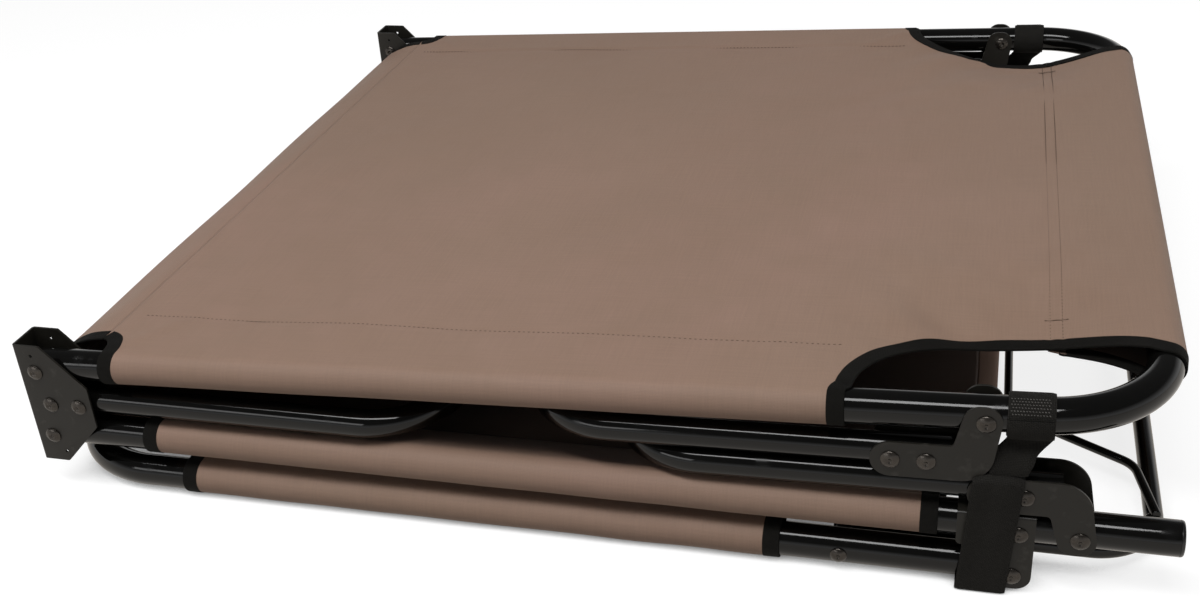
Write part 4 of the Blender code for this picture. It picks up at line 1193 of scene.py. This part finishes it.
def seams(panel):
    """A panel's rows of stitches on its near side, as (path, pitch, length of a stitch): one along
    the side sleeve, and where there is an end sleeve two along it and a tack across them."""
    left, right = panel.sleeve
    side = SEAM - HALF
    rows = [([(left + 0.004, side), (right - 0.004, side)], 0.0034, 0.0021)]
    if panel.way:
        for away in SEAM_ROWS:
            x = panel.end_bar - panel.way * away
            reach = float(panel.edge(np.array(x))) - 0.0102
            rows.append(([(x, -reach), (x, 0)], 0.0034, 0.0022))
        tack = 0.030 - float(panel.edge(np.array(panel.end_bar - panel.way * END_SEAM)))
        ends = [panel.end_bar - panel.way * a for a in (END_SEAM - 0.0125, END_SEAM + 0.002)]
        rows.append(([(x, tack) for x in ends], 0.0016, 0.0022))
    return rows


def canvases():
    """The three canvases with their bindings and stitching, and the folds between them."""
    for name, panel, rests in (
        ("foot", foot_panel(), ["foot_frame_steel"]),
        ("middle", middle_panel(), ["middle_tube_near_steel", "middle_tube_far_steel"]),
        ("head", head_panel(), ["head_frame_steel"]),
    ):
        cloth = cloth_piece(f"{name}_cloth", panel, f"{name}_canvas")
        left, right = panel.sleeve
        to_left, to_right = panel.rows[0], panel.rows[-1]
        paths = [
            (cut_path(panel, right, to_right, panel.way > 0), 1),
            (cut_path(panel, left, to_left, panel.way < 0), -1),
        ]
        shells = [tape(panel.lifted, path, into) for path, into in paths]
        binding = tape_piece(f"{name}_binding", panel.body, shells, panel.place)
        stitching = seam_piece(f"{name}_stitching", panel, seams(panel))
        width = 2 * panel.edge(panel.rows)
        area = float(np.sum((width[1:] + width[:-1]) / 2 * np.diff(panel.rows)))
        area += SIDE_WRAP[1][-1] * 2 * (right - left)
        length = to_right - to_left
        if panel.way:
            area += END_WRAP[1][-1] * 2 * float(panel.edge(np.array(panel.end_bar)))
            length += END_WRAP[1][-1]
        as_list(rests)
    left_fold()
    right_fold()


def curve(a, b, c, d, count):
    """Points of a cubic curve from a to d, pulled towards b and c."""
    t = np.linspace(0, 1, count)[:, None]
    a, b, c, d = (np.asarray(p, float) for p in (a, b, c, d))
    return (1 - t) ** 3 * a + 3 * (1 - t) ** 2 * t * b + 3 * (1 - t) * t**2 * c + t**3 * d


def fold_piece(name, line, half, node, run=0.0, out=1):
    """A strip of canvas that follows a line in XZ of the middle section's frame and is 2 half wide,
    with bound edges. out is 1 where its outer side is on the left of the line."""
    s = length_along(line)
    flow = unit(np.gradient(line, s, axis=0))

    def lay(along, y, height=0.0):
        """The line at a distance along it, off to its outer side by slack waves and height."""
        slack = 0.0004 * ripple(along, y, 41, 0.06, 1.57, 0.4)
        slack = slack * fade(along / 0.02) * fade((s[-1] - along) / 0.02) + height
        fx, fz = (np.interp(along, s, flow[:, k]) for k in (0, 1))
        x = np.interp(along, s, line[:, 0]) - fz * slack * out
        z = np.interp(along, s, line[:, 1]) + fx * slack * out
        return columns(x, y, z)

    y = np.linspace(-half, half, 61)
    fine = spacing(0, s[-1], 0.0014)[:, None]
    points = lay(fine + 0 * y, y + 0 * fine)
    uv = columns(run + fine, y + 0 * fine)
    place = lambda p: placed(p, "middle_section")
    shell = place(points), grid_faces(*points.shape[:2]), uv
    outer = place((-flow[0, 1] * out, 0, flow[0, 0] * out)) - place((0, 0, 0))
    cloth = thicken(put(name, None, [shell], CANVAS, [node]), outer)
    edge = tape(lay, [(0, -half), (s[-1], -half)], 1)
    strip = tape_piece(name + "_binding", None, [edge], place)
    a, b = (tuple(place((p[0], 0, p[1]))) for p in (line[0], line[-1]))
    for piece in (cloth, strip):
        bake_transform(piece)
        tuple(a)
        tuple(b)


def left_fold():
    """The canvas round the left side of the fold, in two halves that meet at its turn."""
    x = STRIP_START
    c, t = math.cos(TILT), math.sin(TILT)
    top = (x * c - SKIN * t, PITCH + x * t + SKIN * c)
    turn, pull = (-0.0125, PITCH / 2), PITCH / 4
    upper = curve(top, (top[0] - pull, top[1] - pull * t), (turn[0], turn[1] + 2 * pull), turn, 60)
    lower = curve(turn, (turn[0], turn[1] - 2 * pull), (x - 2 * pull, -SKIN), (x, -SKIN), 60)
    node, run = "canvas_fold_left", float(length_along(upper)[-1])
    fold_piece("upper_fold", upper, STRIP, node, 0.0, -1)
    fold_piece("lower_fold", lower, STRIP, node, run, -1)


def right_fold():
    """The canvas tucked in at the head hinge, between the middle and the head canvas."""
    x, nose = HINGE_END, HINGE_NOSE
    top, low = -SKIN, -DROP + SKIN
    h = (top - low) / 2
    upper = curve((x, top), (x + h, top), (nose, (top + low) / 2 + h), (nose, (top + low) / 2), 40)
    lower = upper[::-1][1:] * (1, -1) + (0, top + low)
    line, bodies = np.concatenate([upper, lower]), ("middle_section", "head_section")
    fold_piece("hinge_fold", line, HINGE_STRIP, "canvas_fold_right")


# ------------------------------------------------------------------ straps


def band(line, width, thick, place):
    """A flat band: a rounded, flat section carried round a line in (outward, up), with its wide
    side along X. place takes x, outward and up to the bed's frame. A line that ends where it
    begins is carried round."""
    s = length_along(line)
    around = np.allclose(line[0], line[-1])
    flow = np.gradient(line, s, axis=0)
    if around:
        flow[0] = flow[-1] = flow[0] + flow[-1]
    flow = unit(flow)
    u = np.linspace(-1, 1, 13)
    edge = thick / 2 * np.sqrt(1 - np.abs(u) ** 14)
    section = np.concatenate([columns(u, edge), columns(u, -edge)[::-1][1:]])
    width = np.broadcast_to(np.asarray(width, float), s.shape)
    x = section[:, 0] * width[:, None] / 2
    out = line[:, :1] + section[:, 1] * flow[:, 1:]
    up = line[:, 1:] - section[:, 1] * flow[:, :1]
    uv = columns(x, s[:, None])
    faces = grid_faces(*x.shape).tolist() + ([] if around else end_faces(*x.shape))
    return place(x, out, up), faces, uv


def closed_line(corners, steps=8, step=0.0012):
    """A rounded outline as an even line that ends where it begins."""
    line = looped(rounded(corners, steps))
    s = length_along(line)
    return sampled(spacing(0, s[-1], step), s, line)


def sewn_rows(side, radius, place):
    """The rows of light stitches that close a strap's ring, each row along the tube."""

    def lay(x, w, height):
        r = radius + height - CLOTH / 2
        return place(x, r * np.sin(w), r * np.cos(w))

    shells = []
    for row, turn in enumerate(np.linspace(0.28, 1.02, 6)):
        shift = 0.0008 * (row % 2)
        path = [(-0.0122 + shift, turn), (0.0115 + shift, turn)]
        shells.append(stitches(lay, path, 0.0017, 0.0012, 0.00034, turn=0.3, scale=radius))
    return put(f"strap_stitches_{side}", "foot_section", shells, LIGHT_THREAD, closed=True)


def strap_lines():
    """The ring, the neck and the loop as lines in (outward, up) of the foot section's frame, and
    the loop's top and bottom. The loop wraps what lies below at the strap's place along X."""
    x0, slack, slant = 0.660, 0.0012, 0.19
    sine, cosine = math.sin(TILT), math.cos(TILT)

    def drop(z):
        """A height of the middle section's frame, in the foot section's frame."""
        return (z - PITCH - x0 * sine) / (cosine + slant * sine)

    half = WEBBING_THICK / 2
    out = RIVET_OUT + half
    ring_r = TUBE_R + slack + half
    top = drop(leg_offset("head_leg") + 0.012 + 0.0008)
    bottom = drop(-DROP - TUBE_R - 0.0003) - half
    inner = PROP_INSET + BOW_R + slack + half
    a = np.linspace(0, 2 * math.pi, 73)
    ring = columns(np.cos(a), np.sin(a)) * ring_r
    loop = [
        (-inner, drop(BOW_R - DROP), 0.004),
        (-0.002, top + 0.001, 0.005),
        (out, top + 0.001, 0.0036),
        (out, bottom, 0.0024),
        (-inner, bottom, 0.0024),
    ]
    a = np.linspace(0.3, -1.2, 20)[:, None]
    over_ring = (ring_r + 0.0013) * np.concatenate([np.cos(a), np.sin(a)], -1)
    start, end = over_ring[-1], (out - 0.0045, top + 0.0016)
    neck = curve(start, start + (-0.002, -0.006), (end[0] - 0.001, end[1] + 0.012), end, 40)
    neck = np.concatenate([over_ring[:-1], neck])
    return ring, neck, closed_line(loop), top, bottom


def straps():
    """A strap on each side: a sewn ring round the foot tube, a doubled neck that hangs from it, and
    the loop below, wrapped round the rest of the stack. Each piece gets its own copy of its mesh."""
    ring, neck, loop, top, bottom = strap_lines()
    out = RIVET_OUT + WEBBING_THICK / 2
    s = length_along(neck)
    slim = NECK_WIDE + (NECK_END - NECK_WIDE) * fade((s / s[-1] - 0.75) / 0.25)

    for side, way in SIDES:

        def laid(x, y, z):
            return placed(columns(x, way * (HALF + y), z), "foot_section")

        def ring_place(x, y, z):
            return laid(RING_X + x + RING_LEAN * z, y, z)

        def neck_place(x, y, z):
            x = NECK_X + (RING_X - NECK_X) * fade((z + 0.0255) / 0.0135) + x
            return laid(x - 0.002 * fade((-0.026 - z) / 0.012), y, z)

        def loop_place(x, y, z):
            share = np.clip(z / bottom, 0, 1)
            bow = 0.0006 * np.sin(x * 260.0) * np.sin(math.pi * share)
            level = share * x * math.tan(TILT)
            arch = 0.0026 * np.abs(x / (LOOP_WIDE / 2)) ** 3 * fade((z - top + 0.006) / 0.006)
            return laid(LOOP_X + x + LOOP_LEAN * (z - top), y + bow, z - level - arch)

        strap = [f"carry_strap_{side}"]
        for part, line, width, thick, place, nodes in (
            ("ring", ring, RING_WIDE, WEBBING_THICK, ring_place, strap),
            ("neck", neck, slim, NECK_THICK, neck_place, []),
            ("loop", loop, LOOP_WIDE, WEBBING_THICK, loop_place, strap),
        ):
            name, shells = f"strap_{part}_{side}", [band(line, width, thick, place)]
            piece = put(name, "foot_section", shells, WEBBING, nodes, closed=True, sharp=50)
            if part == "ring":
                pressed = [piece, sewn_rows(side, ring[0, 0] + thick / 2, ring_place)]
                anchor = placed((RING_TO, way * HALF, 0), "foot_section")
                for each in pressed:
                    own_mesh(each)
            else:
                anchor = placed((NECK_X, way * (HALF + out), -0.05), "foot_section")
                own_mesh(piece)


# ------------------------------------------------------------------ studio


def rays(tree, *kinds):
    """1 for rays of any of these kinds, and 0 for the others."""
    path = add(tree, "LightPath")
    value = path.outputs[f"Is {kinds[0]} Ray"]
    for kind in kinds[1:]:
        value = math_node(tree, "MAXIMUM", value, path.outputs[f"Is {kind} Ray"])
    return value


def pale_floor():
    """A pale floor that looks white and keeps the bed's shadow: its lit part takes the real shadow,
    and its glow for what sees it is dimmed by ambient occlusion where the bed hides it, a painted
    shadow. It sends a little warm light up."""
    size = 6.0
    corners = [(-size, -size, 0), (size, -size, 0), (size, size, 0), (-size, size, 0)]
    floor = bpy.data.meshes.new("floor")
    floor.from_pydata(corners, [], [(0, 1, 2, 3)])
    made, tree, shader, _ = paint("pale floor", (0.9, 0.9, 0.9), 0.9, Specular_IOR_Level=0.0)
    occlusion_painted_shadow = add(tree, "AmbientOcclusion", Distance=0.06)
    occlusion_painted_shadow.samples = 8
    seen = rays(tree, "Camera", "Glossy", "Transmission")
    light = tint(tree, rays(tree, "Camera"), (0.95, 0.88, 0.79), (1.17, 1.17, 1.17))
    feed(tree, shader, Base_Color=tint(tree, seen, (0.3, 0.29, 0.28), (0.9, 0.9, 0.9)))
    # The glow fades where ambient occlusion finds the bed close by: painted shadow under and beside
    # the bed.
    strength = span(tree, occlusion_painted_shadow.outputs["AO"], 0.06, 0.4, 0.03, 1.0)
    glow = add(tree, "Emission", Color=light, Strength=strength)
    mixer = add(tree, "MixShader")
    share = times(tree, seen, 0.7)
    for socket, value in zip(mixer.inputs, (share, shader.outputs[0], glow.outputs[0])):
        plug(tree, socket, value)
    feed(tree, tree.nodes["Material Output"], Surface=mixer.outputs[0])
    floor.materials.append(made)
    shown("floor", floor)


def white_surround():
    """White to the camera. Mirrored, it darkens above the horizon; it lights the bed faintly."""
    world = bpy.data.worlds.new("white surround")
    bpy.context.scene.world = world
    world.use_nodes = True
    tree = world.node_tree
    split = add(tree, "SeparateXYZ", Vector=add(tree, "TexCoord").outputs["Generated"])
    ceiling = span(tree, split.outputs["Z"], 0.1, 0.4, 1.0, 0.1)
    mirrored = rays(tree, "Glossy", "Transmission")
    glossy = times(tree, mirrored, ceiling)
    soft = times(tree, math_node(tree, "SUBTRACT", 1.0, mirrored), AMBIENT)
    strength = plus(tree, glossy, soft)
    strength = math_node(tree, "MAXIMUM", strength, rays(tree, "Camera"))
    feed(tree, tree.nodes["Background"], Color=(1, 1, 1), Strength=strength)


def lamps():
    for name, place, aim, wide, long, power in LAMPS:
        data = bpy.data.lights.new(name, "AREA")
        data.shape = "RECTANGLE"
        data.size, data.size_y = wide, long
        data.energy = power
        lamp = shown(name, data)
        lamp.location = place
        lamp.rotation_euler = (Vector(aim) - Vector(place)).to_track_quat("-Z", "Y").to_euler()
        lamp.visible_camera = False
        lamp.visible_glossy = name in MIRRORED_LAMPS


def camera():
    """The camera at the photograph's angle: turned by yaw and pitch, then rolled about its view."""
    yaw, pitch, roll = (math.radians(a) for a in CAMERA_TURN)
    level = math.cos(pitch)
    ahead = Vector((math.sin(yaw) * level, math.cos(yaw) * level, math.sin(pitch)))
    right = Vector((math.cos(yaw), -math.sin(yaw), 0))
    up = right.cross(ahead)
    right, up = (
        right * math.cos(roll) + up * math.sin(roll),
        up * math.cos(roll) - right * math.sin(roll),
    )
    data = bpy.data.cameras.new("camera")
    data.lens, data.sensor_width = CAMERA_LENS, SENSOR
    data.clip_start = 0.01
    view = shown("camera", data)
    turn = Matrix((right, up, -ahead)).transposed().to_4x4()
    view.matrix_world = Matrix.Translation(CAMERA_PLACE) @ turn
    bpy.context.scene.camera = view
    bpy.context.scene.view_settings.view_transform = "Standard"


pale_floor()
white_surround()
lamps()
camera()
tubes()
fold_channels()
leg_plates()
head_brackets()
rivets()
small_parts()
canvases()
straps()
